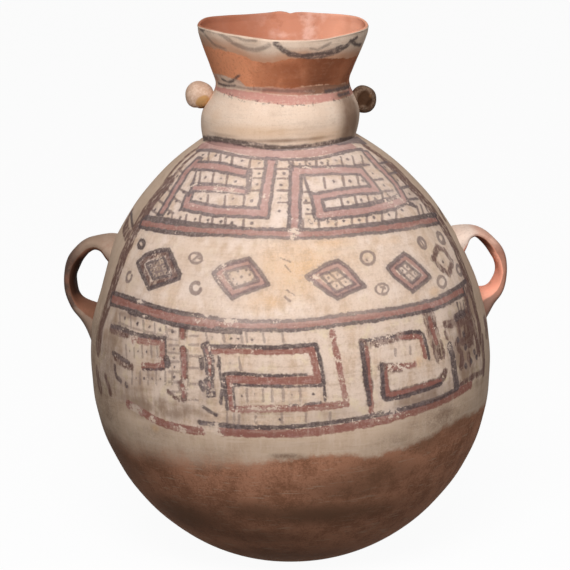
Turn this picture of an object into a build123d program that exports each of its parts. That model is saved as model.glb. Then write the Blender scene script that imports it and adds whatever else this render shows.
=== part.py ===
"""Two-handled storage jar of fired clay with a collared, flaring neck.

The jar is made the way a potter makes it: a moulded bowl, three wall courses, a collar, a funnel neck and
a rim coil, luted edge on edge; two strap handles set into the wall as tenons and packed round with wads of
clay; and two lugs pressed on the collar.  Millimetres, +Z up, origin at the centre of the standing flat, with
the painted front towards -Y and a handle on each side.
"""
import os
from math import asin, atan2, cos, degrees, radians, sin, sqrt, tan

from build123d import *

# Body wall
seat_radius = 35.0  # standing flat on the round bottom
ball_radius = 168.0  # ball that shapes the bowl
belly_turn = -6.0  # angle on the ball, from level, at which the flatter shoulder curve takes over
shoulder_radius = 221.0  # curve of the wall from the belly to the collar
body_wall = 7.0
floor_thickness = 9.0
lower_belly_top = 232.0  # height of the seam above the lower belly course
belly_top = 299.0  # height of the seam above the belly course
seam_slope = 4.0  # how far a bevelled seam falls from the outside to the inside

# Collar, neck and rim
collar_foot_radius = 63.6
collar_wall = 6.5
collar_swell = 2.2  # how far the collar stands out past its foot
brow_height = 29.0  # from the collar's foot to its brow
brow_round = 2.4  # how far the brow bulges past a straight slope to the waist
collar_height = 43.5  # from the collar's foot to the waist
waist_radius = 55.5
neck_height = 48.73  # from the waist to the crown of the lip
neck_wall = 6.0
neck_hollow = 0.9  # how far the funnel's side is hollowed
overall_height = 450.0
rim_radius = 71.2
lip_height = 8.0
lip_overhang = 1.7  # how far the lip stands out past the funnel
lip_thickness = 6.0

# Handles
handle_azimuth = 98.0  # angle round the jar from the middle of the painted front
upper_root_height = 266.5
lower_root_height = 203.0
finger_gap = 23.0  # clear space between the wall and the strap
strap_width = 26.0
strap_thickness = 9.0
strap_edge = 4.0  # rounding of the strap's edges
strap_flat = 0.5  # least flat that the rounding leaves on the strap's edges
upper_bend = 27.0
lower_bend = 20.0
strap_straight = 2.0  # least straight stretch of the strap between its bends
lower_arm_slope = 35.0  # degrees by which the lower arm falls towards the wall
tenon_depth = 4.5
luting_gap = 0.3  # slip between a tenon and its socket

# Wads round the handle roots
upper_wad_spread = 7.0  # how far a wad spreads past the strap at the wall
lower_wad_spread = 9.5
upper_wad_rise = 9.0  # how far a wad climbs the strap
lower_wad_rise = 12.0
wad_feather = 0.8  # thickness of a wad's edge on the strap

# Lugs
lug_radius = 11.0
lug_reach = 15.9  # from the collar's foot out to the lug's outermost point
lug_drop = 10.0  # from the waist down to the middle of a lug



def arc_point(centre, radius, angle):
    """Point of an arc at an angle, in degrees from level."""
    return (centre[0] + radius * cos(radians(angle)), centre[1] + radius * sin(radians(angle)))


def arc_angle(centre, point):
    """Angle, in degrees from level, at which a point lies about an arc's centre."""
    return degrees(atan2(point[1] - centre[1], point[0] - centre[0]))


def arc_centre(start, end, radius):
    """Centre, on the axis side, of the arc of a given radius that rises from start to end."""
    run, rise = end[0] - start[0], end[1] - start[1]
    length = sqrt(run**2 + rise**2)
    set_back = sqrt(radius**2 - length**2 / 4)
    return (
        (start[0] + end[0]) / 2 - set_back * rise / length,
        (start[1] + end[1]) / 2 + set_back * run / length,
    )


# Levels and curves that follow from the driving sizes; the shoulder curve spans from the bowl to the collar
waist_height = overall_height - neck_height
ball_level = sqrt(ball_radius**2 - seat_radius**2)
ball_centre = (0, ball_level)
inner_ball = ball_radius - body_wall
inner_shoulder = shoulder_radius - body_wall
collar_bore = collar_foot_radius - collar_wall
bowl_edge = arc_point(ball_centre, ball_radius, belly_turn)
bowl_inner_edge = arc_point(ball_centre, inner_ball, belly_turn)
collar_foot = (collar_foot_radius, waist_height - collar_height)
shoulder_centre = arc_centre(bowl_edge, collar_foot, shoulder_radius)
bore_run = collar_bore - shoulder_centre[0]
collar_inner_foot = (collar_bore, shoulder_centre[1] + sqrt(inner_shoulder**2 - bore_run**2))
inner_centre = arc_centre(bowl_inner_edge, collar_inner_foot, inner_shoulder)


def shoulder_angle_at(height):
    """Angle on the outer shoulder curve, in degrees from level, at a height."""
    return degrees(asin((height - shoulder_centre[1]) / shoulder_radius))


def wall_radius(height):
    """Outer radius of the wall at a height above the belly turn."""
    return arc_point(shoulder_centre, shoulder_radius, shoulder_angle_at(height))[0]


edge_angle = arc_angle(shoulder_centre, bowl_edge)
inner_edge_angle = arc_angle(inner_centre, bowl_inner_edge)
foot_angle = arc_angle(shoulder_centre, collar_foot)
bore_angle = arc_angle(inner_centre, collar_inner_foot)
bevel = degrees(seam_slope / inner_shoulder)
waist = (waist_radius, waist_height)
inner_waist = (waist_radius - neck_wall, waist_height - seam_slope)
brow = (collar_foot_radius, collar_foot[1] + brow_height)
lip_foot = (rim_radius - lip_overhang, overall_height - lip_height)
lip_inner_foot = (lip_foot[0] - lip_thickness, lip_foot[1])
lip_crown = (rim_radius - lip_thickness / 2, overall_height)


def bulged(start, end, bulge):
    """Arc between two points that stands out, to the right of the way it runs, by bulge."""
    run, rise = end[0] - start[0], end[1] - start[1]
    length = sqrt(run**2 + rise**2)
    middle = (
        (start[0] + end[0]) / 2 + bulge * rise / length,
        (start[1] + end[1]) / 2 - bulge * run / length,
    )
    return ThreePointArc(start, middle, end)


def collar_side():
    """Outer side of the collar: swollen wall, then the brow rounding in to the waist."""
    bulged(collar_foot, brow, collar_swell)
    bulged(brow, waist, brow_round)


def lip_side():
    """Outer side of the lip, up to its crown."""
    ThreePointArc(lip_foot, (rim_radius, overall_height - lip_height / 2), lip_crown)


# Outer form of the whole jar, which shapes what is pressed onto it
with BuildPart() as outer_form:
    with BuildSketch(Plane.XZ):
        with BuildLine():
            Line((0, 0), (seat_radius, 0))
            seat_angle = degrees(asin(-ball_level / ball_radius))
            CenterArc(ball_centre, ball_radius, seat_angle, belly_turn - seat_angle)
            CenterArc(shoulder_centre, shoulder_radius, edge_angle, foot_angle - edge_angle)
            collar_side()
            bulged(waist, lip_foot, -neck_hollow)
            lip_side()
            Polyline(lip_crown, (0, overall_height), (0, 0))
        make_face()
    revolve(axis=Axis.Z)

# Handle straps: one level upper arm, one bend, and a lower arm that falls to the wall
upper_root = (wall_radius(upper_root_height), upper_root_height)
lower_root = (wall_radius(lower_root_height), lower_root_height)
strap_line = wall_radius((upper_root_height + lower_root_height) / 2) + finger_gap + strap_thickness / 2
lower_corner = (
    strap_line,
    lower_root_height + (strap_line - lower_root[0]) * tan(radians(lower_arm_slope)),
)
lower_arm = (cos(radians(lower_arm_slope)), sin(radians(lower_arm_slope)))
sides = {"left": -handle_azimuth, "right": handle_azimuth}

# Each bend is as wide as drawn where the upright run between the two leaves room for both
upright_run = upper_root_height - lower_corner[1]
bend_run = upper_bend + lower_bend * tan(radians((90 - lower_arm_slope) / 2))
bend_fit = min(1, (upright_run - strap_straight) / bend_run)


def handle_plane(azimuth):
    """Upright plane through the axis: local x runs outwards, local y upwards."""
    turn = radians(azimuth)
    return Plane(origin=(0, 0, 0), x_dir=(sin(turn), -cos(turn), 0), z_dir=(-cos(turn), -sin(turn), 0))


def strap_section(growth):
    """Rounded section of the strap, grown all round."""
    edge = min(strap_edge, (strap_thickness - strap_flat) / 2)
    RectangleRounded(strap_width + 2 * growth, strap_thickness + 2 * growth, edge + growth)


def make_strap(azimuth, growth=0.0):
    """Strap with its two tenons; growth makes the sockets that take it."""
    depth = tenon_depth + growth
    upright = handle_plane(azimuth)
    upper_end = (upper_root[0] - depth, upper_root[1])
    lower_end = (lower_root[0] - depth * lower_arm[0], lower_root[1] - depth * lower_arm[1])
    with BuildPart() as strap:
        with BuildLine(upright) as route:
            FilletPolyline(
                upper_end,
                (strap_line, upper_root_height),
                lower_corner,
                lower_end,
                radius=[upper_bend * bend_fit, lower_bend * bend_fit],
            )
        start = Plane(origin=route.line @ 0, x_dir=upright.z_dir, z_dir=route.line % 0)
        with BuildSketch(start):
            strap_section(growth)
        sweep()
    return strap.part


def make_wad(azimuth, root, arm, spread, rise):
    """Wad packed round a strap's root: a flare from the wall up the strap, shaped by both."""
    upright = handle_plane(azimuth)
    outwards = upright.x_dir * arm[0] + upright.y_dir * arm[1]
    sunk = Plane(
        origin=upright.from_local_coords((root[0], root[1], 0)) - outwards * body_wall,
        x_dir=upright.z_dir,
        z_dir=outwards,
    )
    with BuildPart() as wad:
        with BuildSketch(sunk):
            strap_section(spread)
        with BuildSketch(sunk.offset(body_wall + rise)):
            strap_section(wad_feather)
        loft()
        add(outer_form.part, mode=Mode.SUBTRACT)
        add(make_strap(azimuth), mode=Mode.SUBTRACT)
    return wad.part


with BuildPart() as left_handle:
    add(make_strap(sides["left"]))

with BuildPart() as right_handle:
    add(make_strap(sides["right"]))

with BuildPart() as sockets:
    for azimuth in sides.values():
        add(make_strap(azimuth, luting_gap))

# Bowl: outside and inside are balls about one centre, with a flat to stand on and a flat floor
with BuildPart() as base_bowl:
    floor_angle = degrees(asin((floor_thickness - ball_level) / inner_ball))
    with BuildSketch(Plane.XZ):
        with BuildLine():
            Line((0, 0), (seat_radius, 0))
            CenterArc(ball_centre, ball_radius, seat_angle, belly_turn - seat_angle)
            Line(bowl_edge, bowl_inner_edge)
            CenterArc(ball_centre, inner_ball, belly_turn, floor_angle - belly_turn)
            Polyline(arc_point(ball_centre, inner_ball, floor_angle), (0, floor_thickness), (0, 0))
        make_face()
    revolve(axis=Axis.Z)


def course_outline(low, low_inner, high, high_inner):
    """Outline of a wall course between two seams, given by their angles on the outer and inner curves."""
    CenterArc(shoulder_centre, shoulder_radius, low, high - low)
    CenterArc(inner_centre, inner_shoulder, high_inner, low_inner - high_inner)
    for outer, inner in ((low, low_inner), (high, high_inner)):
        outer_end = arc_point(shoulder_centre, shoulder_radius, outer)
        Line(outer_end, arc_point(inner_centre, inner_shoulder, inner))


lower_seam = shoulder_angle_at(lower_belly_top)
upper_seam = shoulder_angle_at(belly_top)

# Lower belly course, on the bowl's square edge, with sockets for the lower tenons
with BuildPart() as lower_belly_course:
    with BuildSketch(Plane.XZ):
        with BuildLine():
            course_outline(edge_angle, inner_edge_angle, lower_seam, lower_seam - bevel)
        make_face()
    revolve(axis=Axis.Z)
    add(sockets.part, mode=Mode.SUBTRACT)

# Belly course, with sockets for the upper tenons
with BuildPart() as belly_course:
    with BuildSketch(Plane.XZ):
        with BuildLine():
            course_outline(lower_seam, lower_seam - bevel, upper_seam, upper_seam - bevel)
        make_face()
    revolve(axis=Axis.Z)
    add(sockets.part, mode=Mode.SUBTRACT)

# Shoulder course, whose upper edge is cut to seat the collar; a tenon set high reaches into it too
with BuildPart() as shoulder_course:
    with BuildSketch(Plane.XZ):
        with BuildLine():
            course_outline(upper_seam, upper_seam - bevel, foot_angle, bore_angle)
        make_face()
    revolve(axis=Axis.Z)
    add(sockets.part, mode=Mode.SUBTRACT)

# Collar: its inside follows the outside, one wall in, as far as the brow
with BuildPart() as collar:
    inner_brow = (collar_bore, brow[1] - seam_slope)
    with BuildSketch(Plane.XZ):
        with BuildLine():
            collar_side()
            Line(waist, inner_waist)
            bulged(inner_waist, inner_brow, -brow_round)
            bulged(inner_brow, collar_inner_foot, -collar_swell)
            Line(collar_inner_foot, collar_foot)
        make_face()
    revolve(axis=Axis.Z)

# Funnel neck
with BuildPart() as neck_funnel:
    with BuildSketch(Plane.XZ):
        with BuildLine():
            bulged(waist, lip_foot, -neck_hollow)
            Line(lip_foot, lip_inner_foot)
            bulged(lip_inner_foot, inner_waist, neck_hollow)
            Line(inner_waist, waist)
        make_face()
    revolve(axis=Axis.Z)

# Rim coil: a lip rounded over at the top
with BuildPart() as rim_coil:
    lip_inner_side = (rim_radius - lip_thickness, overall_height - lip_height / 2)
    with BuildSketch(Plane.XZ):
        with BuildLine():
            lip_side()
            ThreePointArc(lip_crown, lip_inner_side, lip_inner_foot)
            Line(lip_inner_foot, lip_foot)
        make_face()
    revolve(axis=Axis.Z)

# Lugs: pellets pressed on the collar's brow, one each side
lug_centre = (collar_foot_radius + lug_reach - lug_radius, 0, waist_height - lug_drop)

with BuildPart() as right_lug:
    with Locations(lug_centre):
        Sphere(lug_radius)
    add(outer_form.part, mode=Mode.SUBTRACT)

with BuildPart() as left_lug:
    add(right_lug.part.mirror(Plane.YZ))

pieces = {
    "base_bowl": base_bowl.part,
    "lower_belly_course": lower_belly_course.part,
    "belly_course": belly_course.part,
    "shoulder_course": shoulder_course.part,
    "collar": collar.part,
    "neck_funnel": neck_funnel.part,
    "rim_coil": rim_coil.part,
    "left_handle": left_handle.part,
    "right_handle": right_handle.part,
    "left_lug": left_lug.part,
    "right_lug": right_lug.part,
}

# Wads: a small one under each upper arm and a broad one under each lower arm
for side, azimuth in sides.items():
    pieces[side + "_upper_wad"] = make_wad(azimuth, upper_root, (1, 0), upper_wad_spread, upper_wad_rise)
    pieces[side + "_lower_wad"] = make_wad(azimuth, lower_root, lower_arm, lower_wad_spread, lower_wad_rise)

os.makedirs("parts", exist_ok=True)
for name, piece in pieces.items():
    piece.label = name
    export_step(piece, "parts/" + name + ".step")
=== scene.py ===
"""Visual model of a two-handled jar of fired clay, painted in black, red and cream slip.

Every shell is a turned surface worked out with numpy, and the painting is carried as distances, in
millimetres, from brush strokes that lie on the wall.  The shaders turn those distances into worn brushwork.
"""
import logging
import math
from collections.abc import Callable
from dataclasses import dataclass, field
from enum import Enum
from functools import cached_property, partial
from typing import NamedTuple

import bpy
import numpy as np
from bpy.types import ID, Material, Node, NodeSocket, Object, World
from mathutils import Matrix, Vector


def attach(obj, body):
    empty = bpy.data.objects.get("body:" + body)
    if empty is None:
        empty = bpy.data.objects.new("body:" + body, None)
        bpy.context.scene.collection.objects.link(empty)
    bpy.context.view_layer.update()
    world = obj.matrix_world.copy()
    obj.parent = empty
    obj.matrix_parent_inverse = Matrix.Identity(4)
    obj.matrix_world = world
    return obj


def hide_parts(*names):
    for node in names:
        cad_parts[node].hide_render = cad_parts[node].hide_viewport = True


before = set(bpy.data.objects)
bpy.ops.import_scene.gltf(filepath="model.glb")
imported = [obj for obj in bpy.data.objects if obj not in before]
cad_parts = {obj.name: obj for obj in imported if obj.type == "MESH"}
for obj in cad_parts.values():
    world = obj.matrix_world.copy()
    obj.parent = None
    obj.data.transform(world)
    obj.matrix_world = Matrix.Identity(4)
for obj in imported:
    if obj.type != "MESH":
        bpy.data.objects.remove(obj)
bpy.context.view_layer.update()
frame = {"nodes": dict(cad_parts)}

log = logging.getLogger("jar")

MM = 0.001
FAR = 20.0  # distance, in mm, that stands for no paint nearby
Array = np.ndarray
Points = tuple[tuple[float, float], ...]
Line = tuple[float, ...] | Points
Colour = tuple[float, float, float]
WHITE: Colour = (1.0, 1.0, 1.0)


def smooth_curve(knots: Array, values: Array, at: Array) -> Array:
    """Cubic through the knots: between two of them, a Hermite blend whose end slopes are central differences.

    Args:
        knots: increasing positions.
        values: value at each knot.
        at: positions to evaluate.

    Returns:
        The curve's value at each position.
    """
    knots, values = np.asarray(knots, float), np.asarray(values, float)
    slope = np.gradient(values, knots)
    i = np.clip(np.searchsorted(knots, at) - 1, 0, len(knots) - 2)
    span = knots[i + 1] - knots[i]
    u = np.clip((at - knots[i]) / span, 0, 1)
    return (
        values[i] * (1 + 2 * u) * (1 - u) ** 2
        + span * slope[i] * u * (1 - u) ** 2
        + values[i + 1] * u * u * (3 - 2 * u)
        + span * slope[i + 1] * u * u * (u - 1)
    )


def smoothstep(low: float, high: float, x: Array) -> Array:
    """Smooth rise from 0 at low to 1 at high."""
    u = np.clip((x - low) / (high - low), 0, 1)
    return u * u * (3 - 2 * u)


def travelled(points: Array) -> Array:
    """Length of a line of points up to each of them."""
    return np.concatenate([[0], np.cumsum(np.hypot(*np.diff(points, axis=0).T))])


def about_front(angle: Array) -> Array:
    """Angles brought to within half a turn of the front."""
    return np.mod(angle + math.pi, 2 * math.pi) - math.pi


@dataclass(frozen=True)
class JarForm:
    """The jar's turned form in millimetres: a profile, a slight lean and the unevenness of hand building.

    Waves of the swell are depth, count round the jar, pitch up the wall and start; the coil rings' drift is
    depth and count; the pressed hollow is depth, place and spread, by angle and height.
    """

    seat_radius: float = 35.0
    ball_radius: float = 168.0
    belly_turn: float = -6.0
    shoulder_radius: float = 221.0
    body_wall: float = 7.0
    floor_thickness: float = 9.0
    lower_belly_top: float = 232.0
    belly_top: float = 299.0
    collar_foot: tuple[float, float] = (63.6, 357.77)
    waist_height: float = 401.27
    lip_foot_height: float = 442.0
    rim_height: float = 450.0
    neck_wall: float = 6.0
    seam_slope: float = 4.0
    neck_heights: tuple[float, ...] = (357.77, 362, 367, 372, 376, 380, 384, 388, 392, 396, 400, 404, 408,
                                       412, 417, 422, 432, 442, 446, 450)
    neck_radii: tuple[float, ...] = (63.6, 64.5, 65.4, 65.9, 66.0, 65.6, 64.4, 62.5, 60.0, 57.5, 56.0, 55.5,
                                     56.4, 58.0, 59.9, 61.8, 65.8, 69.5, 70.7, 71.0)
    lean_heights: tuple[float, ...] = (-4, 87, 178, 246, 291, 323, 359, 377, 400, 423, 450)
    lean_shifts: tuple[float, ...] = (0, 0.95, 0.27, -1.8, -3.0, -3.9, -4.8, -3.2, -1.0, 0, 0.8)
    waves: tuple[tuple[float, float, float, float], ...] = (
        (0.42, 2, 190, 0.6), (0.3, 3, -75, 2.1), (0.16, 7, 21, 0.0), (0.13, 11, -13, 1.7))
    coil_depth: float = 0.14
    coil_pitch: float = 5.2
    coil_drift: tuple[tuple[float, float], ...] = ((1.1, 2), (0.7, 5))
    press_depth: float = 3.4
    press_at: tuple[float, float] = (-1.62, 240.0)
    press_spread: tuple[float, float] = (0.5, 25.0)
    even_foot: float = 40.0
    rim_fade: tuple[float, float] = (418.0, 448.0)
    fine_points: int = 2401

    @property
    def ball_level(self) -> float:
        """Height of the centre of the ball that shapes the bowl."""
        return math.sqrt(self.ball_radius**2 - self.seat_radius**2)

    @property
    def shoulder_centre(self) -> tuple[float, float]:
        """Centre of the shoulder curve, which leaves the ball smoothly at the belly turn.

        Returns:
            Distance from the axis and height in mm.
        """
        turn = math.radians(self.belly_turn)
        back = self.ball_radius - self.shoulder_radius
        return back * math.cos(turn), self.ball_level + back * math.sin(turn)

    @property
    def turn_height(self) -> float:
        """Height of the belly turn."""
        return self.ball_level + self.ball_radius * math.sin(math.radians(self.belly_turn))

    def outer_radius(self, height: Array) -> Array:
        """Radius of the outside: the ball, then the shoulder curve, then the neck's curve through its knots.

        Args:
            height: heights in mm.

        Returns:
            Radius at each height in mm.
        """
        z = np.asarray(height, float)
        centre = self.shoulder_centre
        ball = np.sqrt(np.maximum(self.ball_radius**2 - (z - self.ball_level) ** 2, 0))
        shoulder = centre[0] + np.sqrt(np.maximum(self.shoulder_radius**2 - (z - centre[1]) ** 2, 0))
        neck = smooth_curve(self.neck_heights, self.neck_radii, np.maximum(z, self.neck_heights[0]))
        return np.where(z > self.collar_foot[1], neck, np.where(z < self.turn_height, ball, shoulder))

    def outside(self) -> tuple[Array, Array, Array]:
        """Fine polyline of the outside above the seat.

        Returns:
            Run along the wall from the seat's edge, radius and height of each point.
        """
        z = np.arccos(np.linspace(1, -1, self.fine_points)) / math.pi * self.rim_height
        r = self.outer_radius(z)
        return travelled(np.stack([r, z], axis=1)), r, z

    def stretch(self, low: float, high: float, step: float) -> tuple[Array, Array, Array]:
        """Evenly spaced rows of the outside between two heights.

        Args:
            low: lower height in mm.
            high: upper height in mm.
            step: largest gap between two rows in mm.

        Returns:
            Run along the wall, radius and height of each row.
        """
        ends = self.run_at(np.array([low, high]))
        run = np.linspace(*ends, 1 + int(math.ceil((ends[1] - ends[0]) / step)))
        return run, *self.at_run(run)

    def at_run(self, run: Array) -> tuple[Array, Array]:
        """Radius and height of the outside at runs along the wall."""
        runs, r, z = self.outside()
        return np.interp(run, runs, r), np.interp(run, runs, z)

    def run_at(self, height: Array) -> Array:
        """Run along the wall, from the seat's edge, at a height."""
        run, _, z = self.outside()
        return np.interp(height, z, run)

    def inner_offset(self, run: Array, wall: float | Array) -> tuple[Array, Array]:
        """Points one wall inside the outside, straight in along its normal.

        Args:
            run: runs along the wall in mm.
            wall: thickness of the wall in mm.

        Returns:
            Radius and height of each point.
        """
        runs, r, z = self.outside()
        rr, zz = self.at_run(run)
        nr, nz = np.interp(run, runs, np.gradient(z, runs)), -np.interp(run, runs, np.gradient(r, runs))
        length = np.hypot(nr, nz)
        return rr - wall * nr / length, zz - wall * nz / length

    def unevenness(self, angle: Array, height: Array) -> Array:
        """Hand-building swell: sine waves, faint coil rings and the hollow pressed in behind the left handle.

        Args:
            angle: angles round the jar in radians.
            height: heights in mm.

        Returns:
            What the swell adds to the radius in mm.
        """
        swell = sum(depth * np.sin(count * angle + height / pitch + start)
                    for depth, count, pitch, start in self.waves)
        drift = sum(depth * np.sin(count * angle) for depth, count in self.coil_drift)
        rings = self.coil_depth * np.sin(height / self.coil_pitch + drift)
        aside = (angle - self.press_at[0]) / self.press_spread[0]
        up = (height - self.press_at[1]) / self.press_spread[1]
        pressed = self.press_depth * np.exp(-(aside**2) - up**2)
        return (swell + rings) * smoothstep(0, self.even_foot, height) - pressed

    def rim_wave(self, angle: Array, height: Array) -> Array:
        """Rise and fall of the hand-cut rim, fading out down the neck.

        Args:
            angle: angles round the jar in radians.
            height: heights in mm.

        Returns:
            What the wave adds to the height in mm.
        """
        if height.max() < self.rim_fade[0]:
            return np.zeros_like(height)
        return RIM.rise(angle) * smoothstep(*self.rim_fade, height)

    def place(self, angle: Array, radius: Array, height: Array) -> Array:
        """Points in metres: a circle about the leaning axis, angle 0 at the front and growing to the right.

        Args:
            angle: angle round the jar in radians.
            radius: distance from the axis in mm.
            height: height in mm.

        Returns:
            Array of xyz points in metres, shaped as the inputs are together.
        """
        angle, radius, height = np.broadcast_arrays(angle, radius, height)
        lean = np.interp(height, self.lean_heights, self.lean_shifts)
        x, y = lean + radius * np.sin(angle), -radius * np.cos(angle)
        return np.stack([x, y, height + self.rim_wave(angle, height)], axis=-1) * MM


FORM = JarForm()


@dataclass(frozen=True)
class PhotoCamera:
    """Where the picture was taken from: distances in mm, picture points in pixels of a square frame.

    Lines of sight are stepped over a stretch before and behind the axis; each mm past the jar's top or foot
    counts as miss_cost mm.
    """

    distance: float = 2949.05
    height: float = 864.45
    aside: float = -3.05
    pitch: float = math.radians(12.1225)
    roll: float = math.radians(-1.5)
    focal: float = 3593.3
    frame: int = 570
    sensor: float = 36.0
    clip: tuple[float, float] = (0.05, 50.0)
    near_reach: float = 300.0
    far_reach: float = 260.0
    steps: int = 1400
    miss_cost: float = 50.0

    def axes(self) -> tuple[Array, Array, Array]:
        """Directions of the picture, from pitch and roll.

        Returns:
            The picture's right, its up and the view.
        """
        level_up = np.array([0, math.sin(self.pitch), math.cos(self.pitch)])
        right = np.array([1.0, 0, 0])
        ahead = np.array([0, math.cos(self.pitch), -math.sin(self.pitch)])
        c, s = math.cos(self.roll), math.sin(self.roll)
        return c * right + s * level_up, c * level_up - s * right, ahead

    @property
    def eye(self) -> Array:
        """The camera's place in mm."""
        return np.array([self.aside, -self.distance, self.height])

    def rays(self, points: Points) -> Array:
        """Directions of the lines of sight through picture points.

        Args:
            points: picture points in pixels.

        Returns:
            One direction per row.
        """
        right, up, ahead = self.axes()
        p = (np.asarray(points, float) - self.frame / 2) / self.focal
        return p[:, :1] * right - p[:, 1:] * up + ahead

    def cast_tube(self, points: Points, radius: float, far: bool) -> tuple[Array, Array]:
        """Place where each picture point's line of sight meets an upright tube about the top of the axis.

        Args:
            points: picture points in pixels.
            radius: radius of the tube in mm.
            far: whether the far side of the tube is meant.

        Returns:
            Angle round the jar in radians and height in mm of each point.
        """
        eye, ray = self.eye, self.rays(points)
        x, y = eye[0] - FORM.lean_shifts[-1], eye[1]
        a, b = ray[:, 0] ** 2 + ray[:, 1] ** 2, x * ray[:, 0] + y * ray[:, 1]
        root = np.sqrt(np.maximum(b * b - a * (x * x + y * y - radius * radius), 0))
        t = (-b + (root if far else -root)) / a
        return np.arctan2(x + t * ray[:, 0], -(y + t * ray[:, 1])), eye[2] + t * ray[:, 2]

    def cast(self, points: Points) -> tuple[Array, Array]:
        """First place on the outside that each picture point's line of sight meets.

        Each line is stepped through the jar, and the crossing of its distance from the axis with the wall's
        radius is found between two steps; a line that misses takes its nearest approach.

        Args:
            points: picture points in pixels.

        Returns:
            Angle round the jar in radians and height in mm of each point.
        """
        ray = self.rays(points)
        step = np.linspace(self.distance - self.near_reach, self.distance + self.far_reach, self.steps)
        at = self.eye + ray[:, None, :] * step[None, :, None]
        lean = np.interp(at[..., 2], FORM.lean_heights, FORM.lean_shifts)
        height = np.clip(at[..., 2], 0, FORM.rim_height)
        gap = np.hypot(at[..., 0] - lean, at[..., 1]) - FORM.outer_radius(height)
        gap += self.miss_cost * np.abs(at[..., 2] - height)
        inside = gap < 0
        first = np.where(inside.any(axis=1), np.argmax(inside, axis=1), np.argmin(gap, axis=1))
        first = np.clip(first, 1, None)
        row = np.arange(len(ray))
        before, after = gap[row, first - 1], gap[row, first]
        share = np.where(after < 0, before / np.maximum(before - after, 1e-9), 1.0)[:, None]
        spot = at[row, first - 1] * (1 - share) + at[row, first] * share
        lean = np.interp(spot[:, 2], FORM.lean_heights, FORM.lean_shifts)
        return np.arctan2(spot[:, 0] - lean, -spot[:, 1]), spot[:, 2]

    def build(self) -> Object:
        """Makes Blender's camera, with the same place, direction and view.

        Returns:
            The camera.
        """
        right, up, ahead = self.axes()
        data = bpy.data.cameras.new("picture_camera")
        data.sensor_width = self.sensor
        data.lens = self.focal * self.sensor / self.frame
        data.clip_start, data.clip_end = self.clip
        camera = add_object("picture_camera", data)
        turn = np.eye(4)
        turn[:3, 0], turn[:3, 1], turn[:3, 2] = right, up, -ahead
        turn[:3, 3] = self.eye * MM
        camera.matrix_world = Matrix(turn.tolist())
        bpy.context.scene.camera = camera
        return camera


CAMERA = PhotoCamera()


class Paint(Enum):
    """Layers of the painting, each an attribute of the mesh."""

    BAR = "bar"
    BLACK = "black"
    FAINT = "faint"
    RED = "red"
    MAROON = "maroon"


BAR_CORE = 2.4  # half the breadth of a bar's red core, in mm, that the shaders expect
DIVIDER_HALF = 1.15  # half the breadth of a divider between cells, in mm
RING_POINTS = 17
EDGE_SHARE, FRAME_SHARE = 0.94, 0.76  # places of a diamond's outline and frame between middle and corners
FRAME_HALF, INNER_HALF = 2.6, 1.4  # half the breadth of a diamond's frame and inner outline, in mm
CELL_DOT_HALF, CELL_LINE_HALF = 1.05, 0.95  # the same for the dots and lines of its cells
SPACING_TURNS = (-180, -117, -79, 81, 117, 180)  # angles in degrees at which the columns' spacing changes


@dataclass(frozen=True)
class Stroke:
    """A brush stroke: its layer, its line over the picture in pixels and half its breadth in mm."""

    paint: Paint
    points: Points
    half: float = 1.0
    closed: bool = False

    def line(self, step: float = 6.0) -> Array:
        """Points along the stroke: a smooth curve through its points, or straight sides if it is closed.

        Args:
            step: largest gap between two points in pixels.

        Returns:
            Rows of x and y in pixels.
        """
        p = np.asarray(self.points, float)
        if self.closed:
            p = np.vstack([p, p[:1]])
        if len(p) == 1:
            return p
        length = travelled(p)
        at = np.unique(np.concatenate([length, np.arange(0, length[-1], step)]))
        straight = self.closed or len(p) < 3
        bent = [np.interp(at, length, c) if straight else smooth_curve(length, c, at) for c in p.T]
        return np.stack(bent, axis=1)


def as_points(line: Line) -> Points:
    """Points of a line that is given as a run of x and y, or as points already."""
    return tuple(map(tuple, np.reshape(np.asarray(line, float), (-1, 2)).tolist()))


def strokes(paint: Paint, half: float, *lines: Line) -> list[Stroke]:
    """Strokes of one paint and one breadth."""
    return [Stroke(paint, as_points(line), half) for line in lines]


# One drawing function for each layer, in the order of Paint
bars, blacks, faints, reds, maroons = (partial(strokes, paint) for paint in Paint)


def dots(*spots: float, half: float = 1.4) -> list[Stroke]:
    """Black dots, given as a run of x and y."""
    return [Stroke(Paint.BLACK, (spot,), half) for spot in as_points(spots)]


def ticks(top: float, bottom: float, *columns: float, lean: float = 0.0, drop: float = 0.0) -> list[Stroke]:
    """Upright dividers between the cells of a row.

    Args:
        top: upper end in pixels, at the first divider.
        bottom: lower end in pixels, at the first divider.
        columns: where the dividers stand.
        lean: how far each one leans to the right at its lower end.
        drop: how far the row falls for each pixel to the right.

    Returns:
        The dividers.
    """
    falls = [(x, drop * (x - columns[0])) for x in columns]
    return faints(DIVIDER_HALF, *[((x, top + fall), (x + lean, bottom + fall)) for x, fall in falls])


def rungs(left: float, right: float, *rows: float, lean: float = 0.0, shift: float = 0.0) -> list[Stroke]:
    """Level dividers between the cells of a column.

    Args:
        left: left end in pixels, at the first divider.
        right: right end in pixels, at the first divider.
        rows: where the dividers lie.
        lean: how far each one falls at its right end.
        shift: how far the column moves to the right for each pixel down.

    Returns:
        The dividers.
    """
    moves = [(y, shift * (y - rows[0])) for y in rows]
    return faints(DIVIDER_HALF, *[((left + move, y), (right + move, y + lean)) for y, move in moves])


def moved(line: Points, shift: float) -> Points:
    """A line moved to the right by some pixels."""
    return tuple((x + shift, y) for x, y in line)


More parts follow.
